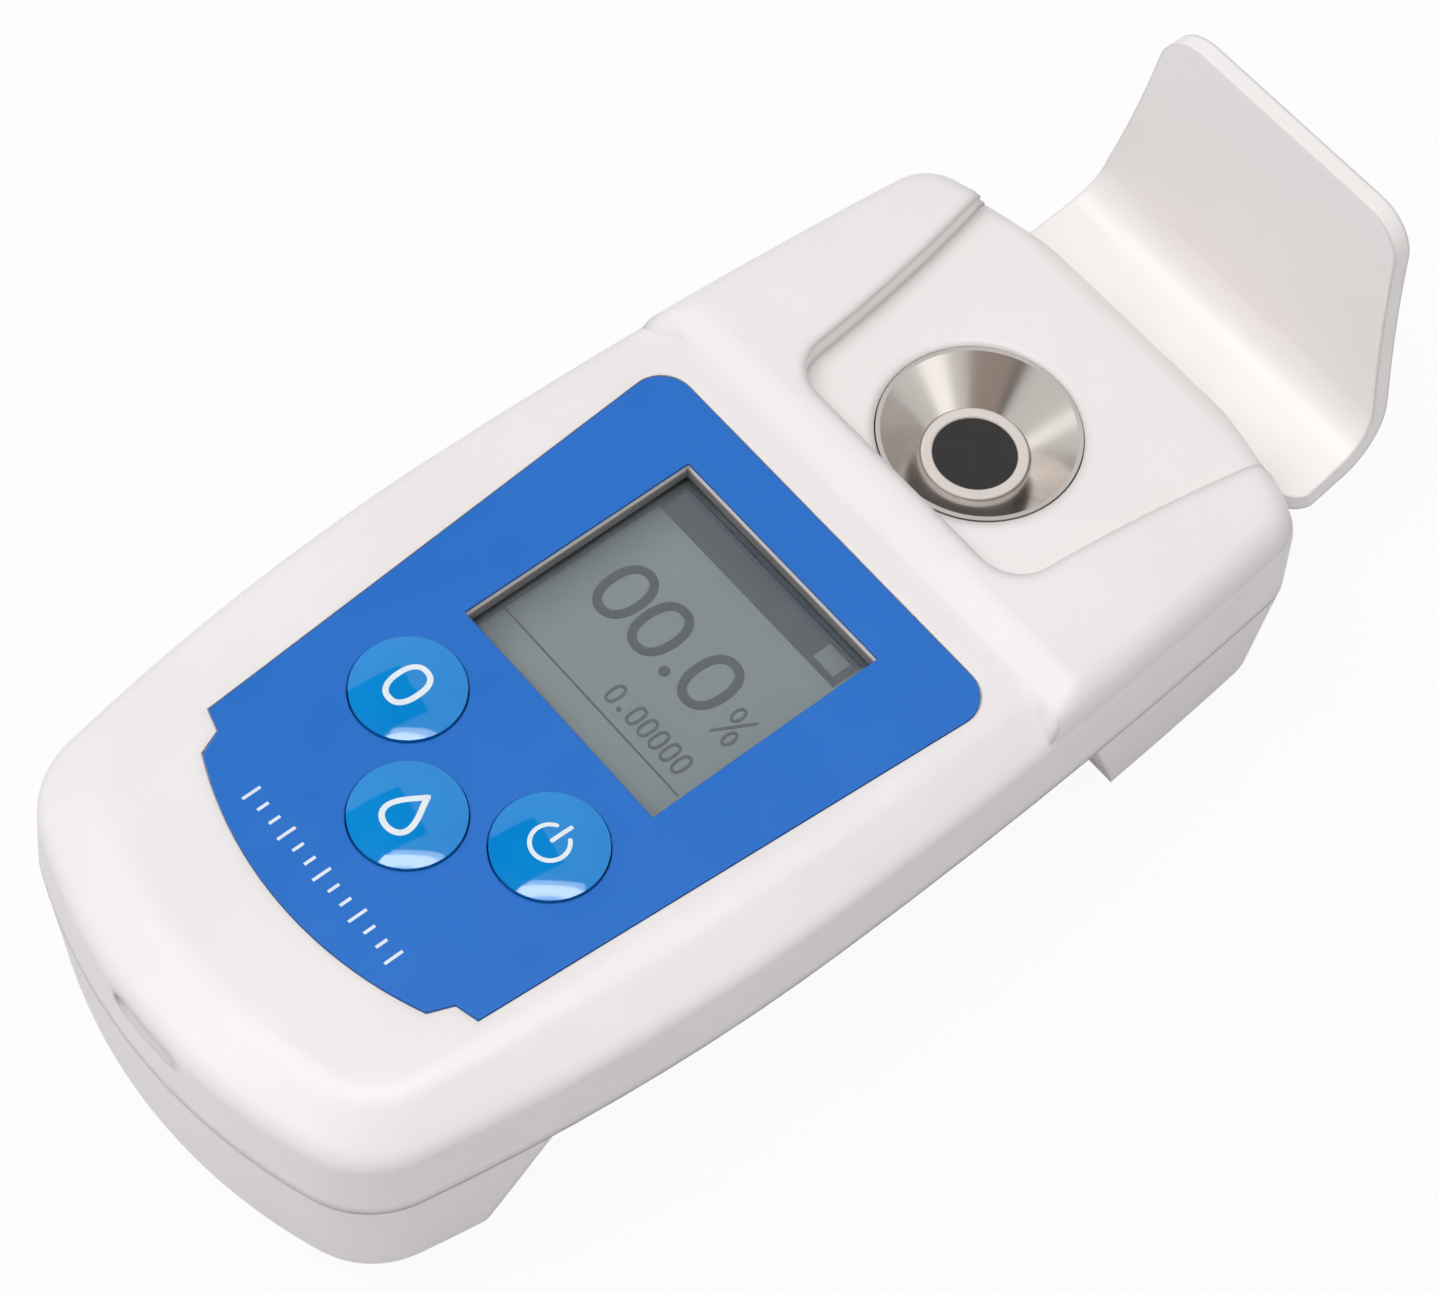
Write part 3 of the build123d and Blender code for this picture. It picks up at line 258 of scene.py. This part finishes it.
def lathe_rings(tree, place):
    """Rings round the well's axis, and a gloss that is drawn out across them."""
    axis = (WELL_X * MM, WELL_Y * MM, 0.0)
    from_axis = add(tree, "ShaderNodeVectorMath", {0: place, 1: axis}, operation="SUBTRACT")
    parts = add(tree, "ShaderNodeSeparateXYZ", {"Vector": from_axis.outputs["Vector"]})
    level = add(tree, "ShaderNodeCombineXYZ", {"X": parts.outputs["X"], "Y": parts.outputs["Y"]})
    reach = add(tree, "ShaderNodeVectorMath", {0: level.outputs["Vector"]}, operation="LENGTH")
    rings = add(tree, "ShaderNodeTexNoise", {
        "W": reach.outputs["Value"], "Scale": per_mm(RING_PITCH), "Detail": 3.0},
        noise_dimensions="1D")
    back = add(tree, "ShaderNodeMath", {0: parts.outputs["Y"], 1: -1.0}, operation="MULTIPLY")
    along = add(tree, "ShaderNodeCombineXYZ", {"X": back.outputs["Value"], "Y": parts.outputs["X"]})
    around = add(tree, "ShaderNodeVectorMath", {0: along.outputs["Vector"]}, operation="NORMALIZE")
    return rings.outputs["Fac"], {"Tangent": around.outputs["Vector"], "Anisotropic": RING_STRETCH}


# Stainless steel well, turned and polished: the rings draw the gloss into rays across them.
# The real cut is finer than the eye sees, so the rings are drawn 0.25 mm apart.
WELL_X, WELL_Y = middle("sample_well")
RING_PITCH = 0.25
RING_STRETCH = 0.8
steel_well = cut_metal("stainless_well_turned", "#BEB8B3", rough=0.17, height=0.003,
                       pattern=lathe_rings)
# Steel screws, zinc plated: grey, a little dull
steel_screw = cut_metal("steel_screw_zinc", "#B4B3B0", rough=0.32, height=0.004,
                        pattern=streaks(size=0.3))
# Stainless steel pin, ground: clean grey with fine streaks
steel_pin = cut_metal("stainless_pin_ground", "#BDBCBA", rough=0.24, height=0.003,
                      pattern=streaks(size=0.2))
# Spring steel leaves, nickel plated: warm, bright
nickel_leaf = cut_metal("spring_steel_nickel_plated", "#C9C2B4", rough=0.22, height=0.003,
                        pattern=streaks(size=0.4))


def polished_window():
    """PMMA, cast and polished: clear, a faint haze from wiping. The lamps' light goes through it."""
    made, tree, place = start_finish("pmma_window_polished")
    haze = add(tree, "ShaderNodeMapRange", {
        "Value": clouds(tree, place, size=9, detail=3.0), "To Min": 0.03, "To Max": 0.07})
    pane = add(tree, "ShaderNodeBsdfPrincipled", {
        "Base Color": linear("#F4F6F6"), "Roughness": haze.outputs["Result"], "IOR": 1.49,
        "Transmission Weight": 1.0})
    passed = add(tree, "ShaderNodeBsdfTransparent", {"Color": linear("#EEF2F2")})
    ray = add(tree, "ShaderNodeLightPath")
    both = add(tree, "ShaderNodeMixShader", {
        0: ray.outputs["Is Shadow Ray"], 1: pane.outputs["BSDF"], 2: passed.outputs["BSDF"]})
    close_finish(tree, both.outputs["Shader"])
    return made


# Liquid crystal: dots of 0.25 mm, and painted shade that darkens the edges next to the opening's left
# and rear walls
DOT_PITCH = 0.25
SHADE = 0.62
SHADE_WIDTH = 7
SHADE_LEFT_X = -15
SHADE_REAR_Y = 7


def liquid_crystal():
    """Glass with its polariser: flat grey-green, a faint grid of dots, and painted shade darkening two
    edges.
    """
    made, tree, place = start_finish("glass_liquid_crystal")
    patches = clouds(tree, place, size=16, detail=1.0)
    tone = two_tones(tree, patches, ("#6B7478", "#70797D"), spread=0.2)
    dots = add(tree, "ShaderNodeTexBrick", {
        "Vector": place, "Scale": per_mm(DOT_PITCH), "Mortar Size": 0.05,
        "Color1": (1, 1, 1, 1), "Color2": (1, 1, 1, 1), "Mortar": (0.96, 0.96, 0.96, 1)},
        offset=0.0)
    mixed = add(tree, "ShaderNodeMix", {
        "Factor": 1.0, "A": tone, "B": dots.outputs["Color"]},
        data_type="RGBA", blend_type="MULTIPLY")
    parts = add(tree, "ShaderNodeSeparateXYZ", {"Vector": place})
    # painted shade: the colour darkens towards the left and rear edges of the crystal
    shades = [add(tree, "ShaderNodeMapRange", {
        "Value": parts.outputs[way], "From Min": edge * MM, "From Max": inner * MM, "To Min": SHADE},
        interpolation_type="SMOOTHSTEP").outputs["Result"] for way, edge, inner in (
            ("X", SHADE_LEFT_X, SHADE_LEFT_X + SHADE_WIDTH),
            ("Y", SHADE_REAR_Y, SHADE_REAR_Y - SHADE_WIDTH))]
    edges = add(tree, "ShaderNodeMath", {0: shades[0], 1: shades[1]}, operation="MULTIPLY")
    shaded = add(tree, "ShaderNodeVectorMath", {
        0: mixed.outputs["Result"], "Scale": edges.outputs["Value"]}, operation="SCALE")
    pane = add(tree, "ShaderNodeBsdfPrincipled", {
        "Base Color": shaded.outputs["Vector"], "Roughness": 0.5, "IOR": 1.5,
        "Specular IOR Level": 0.15})
    close_finish(tree, pane.outputs["BSDF"])
    return made


def smooth_finish(name, tones, size, spread, shine, detail=2.0):
    """Two near tones under an even gloss; shine holds what is set on the shader."""
    made, tree, place = start_finish(name)
    tone = two_tones(tree, clouds(tree, place, size, detail), tones, spread)
    surface = add(tree, "ShaderNodeBsdfPrincipled", {"Base Color": tone, **shine})
    close_finish(tree, surface.outputs["BSDF"])
    return made


def screen_ink(name, tones, rough):
    """Screen printing ink: flat, thick colour with the mesh's faint unevenness.

    The mesh is 0.2 mm, too fine to show, so it is drawn as soft patches of 1.5 mm.
    """
    return smooth_finish(
        name, tones, size=1.5, spread=0.15, detail=1.0, shine={"Roughness": rough, "IOR": 1.5})


pmma_window = polished_window()
crystal_glass = liquid_crystal()
board_lacquer = circuit_board()
# Optical glass, ground and polished: nearly black, since the block below sends nothing back
prism_dark = smooth_finish(
    "optical_glass_polished", ("#171414", "#1D1A19"), size=4, spread=0.5,
    shine={"Roughness": 0.14, "IOR": 1.62, "Specular IOR Level": 0.3})
# Polyester key dome, printed blue behind a clear cast resin: deep colour under a wet gloss
key_resin = smooth_finish(
    "polyester_key_resin_domed", ("#0688D8", "#0C8EDC"), size=7, spread=0.2,
    shine={"Roughness": 0.05, "IOR": 1.46})
# White screen ink on the label: matt and opaque
ink_white = screen_ink("screen_ink_white", ("#DDE8F4", "#E9F1FA"), rough=0.4)
# White ink on the keys' resin: nearly as glossy as the dome
ink_key = screen_ink("screen_ink_white_on_resin", ("#E6F2FA", "#F2F8FC"), rough=0.18)
# Crystal segments switched on: the soft violet grey that they give over the polariser, not black
segment_dark = screen_ink("crystal_segment_dark", ("#272E3B", "#2B323F"), rough=0.6)
# The thin segments, one dot wide, look paler
segment_thin = screen_ink("crystal_segment_thin", ("#30383F", "#343C43"), rough=0.6)

finishes = {
    abs_white: ("upper_shell", "display_frame"),
    abs_lower_painted_shade: ("lower_shell", "battery_door"),
    abs_lid_painted_light: ("lid",),
    polyester_label: ("key_panel",),
    key_resin: ("zero_key", "measure_key", "power_key"),
    pom_black: ("zero_switch", "measure_switch", "power_switch", "light_sensor"),
    pmma_window: ("display_lens",),
    crystal_glass: ("display_glass",),
    pmma_frosted: ("display_backlight",),
    board_lacquer: ("main_board", "sensor_board"),
    steel_screw: ("board_screws", "case_screws"),
    steel_well: ("sample_well",),
    silicone_seal: ("prism_seal",),
    prism_dark: ("prism",),
    abs_black: ("optical_block",),
    epoxy_lamp: ("lamp",),
    pvc_sleeve: ("left_cell", "right_cell"),
    nickel_leaf: ("front_contacts", "rear_contacts"),
    steel_pin: ("hinge_pin",),
}
for finish, wearers in finishes.items():
    for wearer in wearers:
        slots = nodes[wearer].data.materials
        for spot in range(len(slots)):
            slots[spot] = finish


# Print: flat strokes laid on a surface of the CAD, in mm
INK_T = 0.02
SEGMENT_T = 0.08
SKIRT = 1.5
RAY_START = 80


def show(name, sheet, finish):
    """Puts a drawn sheet into the scene with its finish."""
    mesh = bpy.data.meshes.new(name)
    sheet.to_mesh(mesh)
    sheet.free()
    mesh.materials.append(finish)
    shown = bpy.data.objects.new(name, mesh)
    scene.collection.objects.link(shown)
    return shown


def top_of(name):
    """Gives the height of a node's top at a place, found by a ray from above."""
    solid = nodes[name].data
    faces = BVHTree.FromPolygons([v.co for v in solid.vertices], [p.vertices for p in solid.polygons])

    def height(x, y):
        return faces.ray_cast(Vector((x, y, RAY_START)) * MM, Vector((0, 0, -1)))[0].z / MM
    return height


def stroke(path, width, closed=False, across=3):
    """Rows of points on both sides of a path: the grid of one printed stroke."""
    rows = []
    count = len(path)
    for i, (x, y) in enumerate(path):
        before = path[i - 1] if closed or i else path[i]
        after = path[(i + 1) % count] if closed or i < count - 1 else path[i]
        run = Vector((after[0] - before[0], after[1] - before[1])).normalized()
        shares = [k / across - 0.5 for k in range(across + 1)]
        rows.append([(x - run.y * width * share, y + run.x * width * share) for share in shares])
    return rows, closed


def oval(cx, cy, wide, high, power=2.0, count=48):
    """Closed path of a rounded zero, from its middle, its width and height."""
    path = []
    for i in range(count):
        turn = 2 * math.pi * i / count
        c, s = math.cos(turn), math.sin(turn)
        path.append((cx + wide / 2 * math.copysign(abs(c) ** (2 / power), c),
                     cy + high / 2 * math.copysign(abs(s) ** (2 / power), s)))
    return path


def drop(cx, cy, wide, high, pinch=1.6, belly=1.25, count=44):
    """Closed path of a drop with its point at the top."""
    path = []
    for i in range(count):
        turn = 2 * math.pi * i / count
        side = math.sin(turn) * math.sin(turn / 2) ** pinch * belly
        path.append((cx + wide / 2 * side, cy + high / 2 * math.cos(turn)))
    return path


def run_of(start, end, steps=8):
    """Straight path in even steps."""
    return [(start[0] + (end[0] - start[0]) * i / steps, start[1] + (end[1] - start[1]) * i / steps)
            for i in range(steps + 1)]


def bar(left, right, low, high):
    """Grid of a plain level bar."""
    level = (low + high) / 2
    return stroke(run_of((left, level), (right, level)), high - low)


def disc(cx, cy, radius, count=28, rings=3, hole=0.02):
    """Grid of a round dot: spokes of points round its middle, which stays open by a hair."""
    rows = []
    for i in range(count):
        turn = 2 * math.pi * i / count
        reaches = [radius * (k + hole) / (rings + hole) for k in range(rings + 1)]
        rows.append([(cx + math.cos(turn) * reach, cy + math.sin(turn) * reach) for reach in reaches])
    return rows, True


def round_ends(path, width):
    """Discs that round off an open stroke."""
    return [disc(*path[0], width / 2), disc(*path[-1], width / 2)]


def printed(name, grids, height, ink, body, lift=INK_T):
    """Lays the strokes at the height's level, lifted by the ink's thickness, with an edge all round."""
    sheet = bmesh.new()
    for rows, closed in grids:
        placed = [[sheet.verts.new(Vector((x, y, height(x, y) + lift)) * MM) for x, y in row]
                  for row in rows]
        last = len(placed) if closed else len(placed) - 1
        for i in range(last):
            one, two = placed[i], placed[(i + 1) % len(placed)]
            for k in range(len(one) - 1):
                sheet.faces.new((one[k], one[k + 1], two[k + 1], two[k]))
    bmesh.ops.recalc_face_normals(sheet, faces=sheet.faces)
    for face in sheet.faces:
        if face.normal.z < 0:
            face.normal_flip()
    edges = [e for e in sheet.edges if e.is_boundary]
    skirt = bmesh.ops.extrude_edge_only(sheet, edges=edges)
    for vert in skirt["geom"]:
        if isinstance(vert, bmesh.types.BMVert):
            vert.co.z -= lift * SKIRT * MM
    laid = show(name, sheet, ink)
    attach(laid, body)


# Keys: a plain zero, a drop and the sign for on and off
MARK_W = 0.62
ZERO_W = 3.2
ZERO_H = 4.8
ZERO_SQUARE = 2.4
DROP_W = 4.0
DROP_H = 5.2
POWER_R = 2.0
POWER_GAP = 0.55
POWER_W = 0.46
POWER_BAR_FROM = 0.3
POWER_BAR_TO = 2.7
POWER_STEPS = 40


def power_sign(cx, cy):
    """An open ring with a bar in its gap. The gap is in radians to each side."""
    sweep = 2 * math.pi - 2 * POWER_GAP
    turns = [POWER_GAP + sweep * i / POWER_STEPS for i in range(POWER_STEPS + 1)]
    ring = [(cx + POWER_R * math.sin(turn), cy + POWER_R * math.cos(turn)) for turn in turns]
    upright = run_of((cx, cy + POWER_BAR_FROM), (cx, cy + POWER_BAR_TO))
    ends = round_ends(ring, POWER_W) + round_ends(upright, POWER_W)
    return [stroke(ring, POWER_W), stroke(upright, POWER_W)] + ends


key_marks = {
    "zero_key": [stroke(oval(*middle("zero_key"), ZERO_W, ZERO_H, ZERO_SQUARE), MARK_W, True)],
    "measure_key": [stroke(drop(*middle("measure_key"), DROP_W, DROP_H), MARK_W, True)],
    "power_key": power_sign(*middle("power_key")),
}
for key, mark in key_marks.items():
    printed(key + "_mark", mark, top_of(key), ink_key, key)

# Label: a row of plain ticks under the keys, every third one tall
TICK_COUNT = 13
TICK_EVERY = 3
TICK_Y = -52.9
TICK_REACH = 11.4
TICK_H = 2.2
TICK_SHORT = 0.62
TICK_W = 0.34
ticks = []
for i in range(TICK_COUNT):
    x = -TICK_REACH + 2 * TICK_REACH * i / (TICK_COUNT - 1)
    tall = TICK_H if i % TICK_EVERY == 0 else TICK_H * TICK_SHORT
    ticks.append(stroke(run_of((x, TICK_Y - tall / 2), (x, TICK_Y + tall / 2), 3), TICK_W))
printed("label_ticks", ticks, top_of("key_panel"), ink_white, "body")

# Display: plain figures drawn in the gap between the crystal glass and the window
CRYSTAL_Z = top("display_glass")
FIGURE_XS = (-8.13, -2.48, 5.51)
FIGURE_Y = -7.95
FIGURE_W = 4.25
FIGURE_H = 6.5
FIGURE_SQUARE = 2.3
FIGURE_LINE = 1.0
POINT_X = 1.6
POINT_Y = -10.85
POINT_R = 0.62
THIN = 0.32
PERCENT_X = 10.95
PERCENT_Y = -9.45
SLASH_X = 1.2
SLASH_Y = 2.2
NOUGHT_X = 0.75
NOUGHT_Y = 1.25
NOUGHT_W = 1.0
NOUGHT_H = 1.8
SMALL_XS = (0.6, 3.9, 5.68, 7.45, 9.23, 11.0)
SMALL_Y = -16.4
SMALL_W = 1.15
SMALL_H = 2.3
SMALL_SQUARE = 2.6
SMALL_POINT_X = 2.2
SMALL_POINT_R = 0.3
SMALL_POINT_RISE = 0.2
RULE_LEFT = -14.4
RULE_RIGHT = 13.6
RULE_Y = -18.95
RULE_W = 0.2
BAND_LEFT = -14.2
BAND_RIGHT = 13.6
BAND_LOW = 1.5
BAND_HIGH = 5.6
CELL_LEFT = 9.5
CELL_RIGHT = 12.7
CELL_LOW = 2.3
CELL_HIGH = 4.7


def crystal_top(x, y):
    """The crystal glass is level, so its height is the same at every place."""
    return CRYSTAL_Z


def shown_on_display(name, grids, ink):
    """Lays segments on the crystal glass."""
    printed(name, grids, crystal_top, ink, "body", SEGMENT_T)


def percent_sign(cx, cy):
    """A slash between two small noughts, all thin segments."""
    slash = run_of((cx - SLASH_X, cy - SLASH_Y), (cx + SLASH_X, cy + SLASH_Y))
    noughts = [stroke(oval(cx - side * NOUGHT_X, cy + side * NOUGHT_Y, NOUGHT_W, NOUGHT_H), THIN, True)
               for side in (1, -1)]
    return [stroke(slash, THIN)] + noughts


figures = [stroke(oval(x, FIGURE_Y, FIGURE_W, FIGURE_H, FIGURE_SQUARE), FIGURE_LINE, True)
           for x in FIGURE_XS]
shown_on_display("display_figures", figures + [disc(POINT_X, POINT_Y, POINT_R)], segment_dark)
small = [stroke(oval(x, SMALL_Y, SMALL_W, SMALL_H, SMALL_SQUARE), THIN, True) for x in SMALL_XS]
small_point = disc(SMALL_POINT_X, SMALL_Y - SMALL_H / 2 + SMALL_POINT_RISE, SMALL_POINT_R)
rule = stroke(run_of((RULE_LEFT, RULE_Y), (RULE_RIGHT, RULE_Y)), RULE_W)
fine = percent_sign(PERCENT_X, PERCENT_Y) + small + [small_point, rule]
shown_on_display("display_fine_figures", fine, segment_thin)
# dark band along the rear edge, left open for a battery outline
band = [bar(BAND_LEFT, CELL_LEFT, BAND_LOW, BAND_HIGH), bar(CELL_RIGHT, BAND_RIGHT, BAND_LOW, BAND_HIGH),
        bar(CELL_LEFT, CELL_RIGHT, BAND_LOW, CELL_LOW), bar(CELL_LEFT, CELL_RIGHT, CELL_HIGH, BAND_HIGH)]
shown_on_display("display_band", band, segment_dark)

# Window: a dark grey strip round the opening, standing in for the shade on its walls: painted shade
WINDOW_W = 30.0
WINDOW_L = 29.6
STRIP_GAP = 0.02
STRIP_T = 0.14
STRIP_RISE = 1.08


def window_shade_liner():
    """A closed four-sided tube, hung on the opening's walls and clear of the window pane; its dark grey
    is painted shade.
    """
    middle_x, middle_y = middle("display_lens")
    low = top("display_lens") + STRIP_GAP
    high = low + STRIP_RISE
    sheet = bmesh.new()
    rings = []
    for inset, level in ((0, low), (0, high), (STRIP_T, high), (STRIP_T, low)):
        across = WINDOW_W / 2 - STRIP_GAP - inset
        along = WINDOW_L / 2 - STRIP_GAP - inset
        rings.append([
            sheet.verts.new(Vector((middle_x + across * i, middle_y + along * k, level)) * MM)
            for i, k in ((-1, -1), (1, -1), (1, 1), (-1, 1))])
    sides = len(rings)
    for k in range(sides):
        one, two = rings[k], rings[(k + 1) % sides]
        for i in range(sides):
            following = (i + 1) % sides
            sheet.faces.new((one[i], one[following], two[following], two[i]))
    bmesh.ops.recalc_face_normals(sheet, faces=sheet.faces)
    strip = show("window_shade_liner", sheet, window_wall_painted_shade)
    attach(strip, "body")


window_shade_liner()

# Floor: plain and pale, white to the camera, with the object's soft shadow. Sizes in metres
FLOOR_WHITE = 0.93
FLOOR_DROP = 0.03 * MM
FLOOR_HALF = 2.2
FLOOR_REACH = 1.6
FLOOR_TURN = 0.9
FLOOR_STEPS = 12


def paper_white():
    """Uncoated paper: even, matt. From below it can be looked through, so the underside shows."""
    made, tree, place = start_finish("floor_paper_white")
    tone = two_tones(tree, clouds(tree, place, size=3), ("#E4E4E4", "#E8E8E8"), spread=0.5)
    paper = add(tree, "ShaderNodeBsdfDiffuse", {"Color": tone})
    white = add(tree, "ShaderNodeEmission", {"Color": (1, 1, 1, 1), "Strength": 1.0})
    ray = add(tree, "ShaderNodeLightPath")
    share = add(tree, "ShaderNodeMath", {
        0: ray.outputs["Is Camera Ray"], 1: FLOOR_WHITE}, operation="MULTIPLY")
    both = add(tree, "ShaderNodeMixShader", {
        0: share.outputs["Value"], 1: paper.outputs["BSDF"], 2: white.outputs["Emission"]})
    clear = add(tree, "ShaderNodeBsdfTransparent")
    side = add(tree, "ShaderNodeNewGeometry")
    either = add(tree, "ShaderNodeMixShader", {
        0: side.outputs["Backfacing"], 1: both.outputs["Shader"], 2: clear.outputs["BSDF"]})
    close_finish(tree, either.outputs["Shader"])
    return made


def lay_floor():
    """A sheet that lies a hair under the feet and turns up far behind the object."""
    profile = [(-FLOOR_REACH, -FLOOR_DROP)]
    for i in range(FLOOR_STEPS + 1):
        turn = math.pi / 2 * i / FLOOR_STEPS
        profile.append((FLOOR_REACH + FLOOR_TURN * math.sin(turn),
                        FLOOR_TURN * (1 - math.cos(turn)) - FLOOR_DROP))
    sheet = bmesh.new()
    lines = [[sheet.verts.new((x, y, z)) for x in (-FLOOR_HALF, FLOOR_HALF)] for y, z in profile]
    for one, two in zip(lines, lines[1:]):
        sheet.faces.new((one[0], one[1], two[1], two[0]))
    show("floor", sheet, paper_white())


lay_floor()

# Light: an even sky, one soft key light from the front left, a panel overhead. Sizes in metres
SKY_LIGHT = 0.53
SKY_SEEN = 1.0


def light_world():
    """A white sky that is seen at full strength and lights the object at a plain level."""
    sky = bpy.data.worlds.new("plain_sky")
    scene.world = sky
    sky.use_nodes = True
    tree = sky.node_tree
    tree.nodes.clear()
    ray = add(tree, "ShaderNodeLightPath")
    seen = ray.outputs["Is Camera Ray"]
    for kind in ("Is Glossy Ray", "Is Transmission Ray"):
        seen = add(tree, "ShaderNodeMath", {
            0: seen, 1: ray.outputs[kind]}, operation="MAXIMUM").outputs["Value"]
    level = add(tree, "ShaderNodeMapRange", {"Value": seen, "To Min": SKY_LIGHT, "To Max": SKY_SEEN})
    glow = add(tree, "ShaderNodeBackground", {
        "Color": (1, 1, 1, 1), "Strength": level.outputs["Result"]})
    add(tree, "ShaderNodeOutputWorld", {"Surface": glow.outputs["Background"]})


def facing(way, turn):
    """Rotation that looks back along a direction, or lies level and is turned by some degrees."""
    if turn is None:
        return Vector(way).to_track_quat("Z", "Y").to_euler()
    return (0, 0, math.radians(turn))


def hang_lamp(name, place, wide, high, watts, aim=(0, 0, 0.02), turn=None):
    """A soft panel of light, aimed at a point or hung level."""
    lamp = bpy.data.lights.new(name, "AREA")
    lamp.shape = "RECTANGLE"
    lamp.size = wide
    lamp.size_y = high
    lamp.energy = watts
    held = bpy.data.objects.new(name, lamp)
    held.location = place
    held.rotation_euler = facing(Vector(place) - Vector(aim), turn)
    held.visible_camera = False
    scene.collection.objects.link(held)


light_world()
hang_lamp("key_light", (-0.25, -0.40, 0.88), wide=0.55, high=0.55, watts=3.3)
hang_lamp("overhead_panel", (0.0, 0.05, 0.9), wide=0.40, high=0.12, watts=0.95, turn=50)

# Cards that only the gloss sees: they give the turned cone its rays and the keys their edge
CARD_FADE = 300
CARD_SWAY = 0.1
WELL_MOUTH = (0, 0.034, 0.027)
KEY_TOPS = (0, -0.037, 0.031)


def hang_card(name, way, reach, wide, high, tone, strength, aim=WELL_MOUTH, turn=None):
    """A glowing card at a distance from what it is aimed at, its strength swaying a little over it."""
    made, tree, place = start_finish(name + "_paper")
    level = add(tree, "ShaderNodeMapRange", {
        "Value": clouds(tree, place, CARD_FADE),
        "To Min": strength * (1 - CARD_SWAY), "To Max": strength * (1 + CARD_SWAY)})
    glow = add(tree, "ShaderNodeEmission", {
        "Color": linear(tone), "Strength": level.outputs["Result"]})
    close_finish(tree, glow.outputs["Emission"])
    sheet = bmesh.new()
    corners = ((-1, -1), (1, -1), (1, 1), (-1, 1))
    sheet.faces.new([sheet.verts.new((x * wide / 2, y * high / 2, 0)) for x, y in corners])
    card = show(name, sheet, made)
    card.location = Vector(aim) + Vector(way).normalized() * reach
    card.rotation_euler = facing(way, turn)
    card.visible_camera = False
    card.visible_diffuse = False
    card.visible_shadow = False
    card.visible_transmission = False


hang_card("card_front", (0.45, -0.62, 0.62), reach=0.6, wide=0.50, high=0.34,
          tone="#D0C0B8", strength=0.8)
hang_card("card_streak", (0.12, -0.80, 0.58), reach=0.5, wide=0.07, high=0.30,
          tone="#50443E", strength=0.6)
hang_card("card_bright_right", (0.82, 0.21, 0.51), reach=0.55, wide=0.22, high=0.26,
          tone="#FFFFFF", strength=1.9)
hang_card("card_bright_left", (-0.79, -0.55, 0.29), reach=0.6, wide=0.24, high=0.20,
          tone="#FFFFFF", strength=1.7)
hang_card("card_glint", (0.007, 0.09, 0.994), reach=0.85, wide=0.52, high=0.065,
          tone="#FFFFFF", strength=16.0, aim=KEY_TOPS, turn=50)
hang_card("card_keys", (-0.42, 0.06, 0.92), reach=0.8, wide=0.46, high=0.42,
          tone="#303236", strength=0.6, aim=KEY_TOPS)
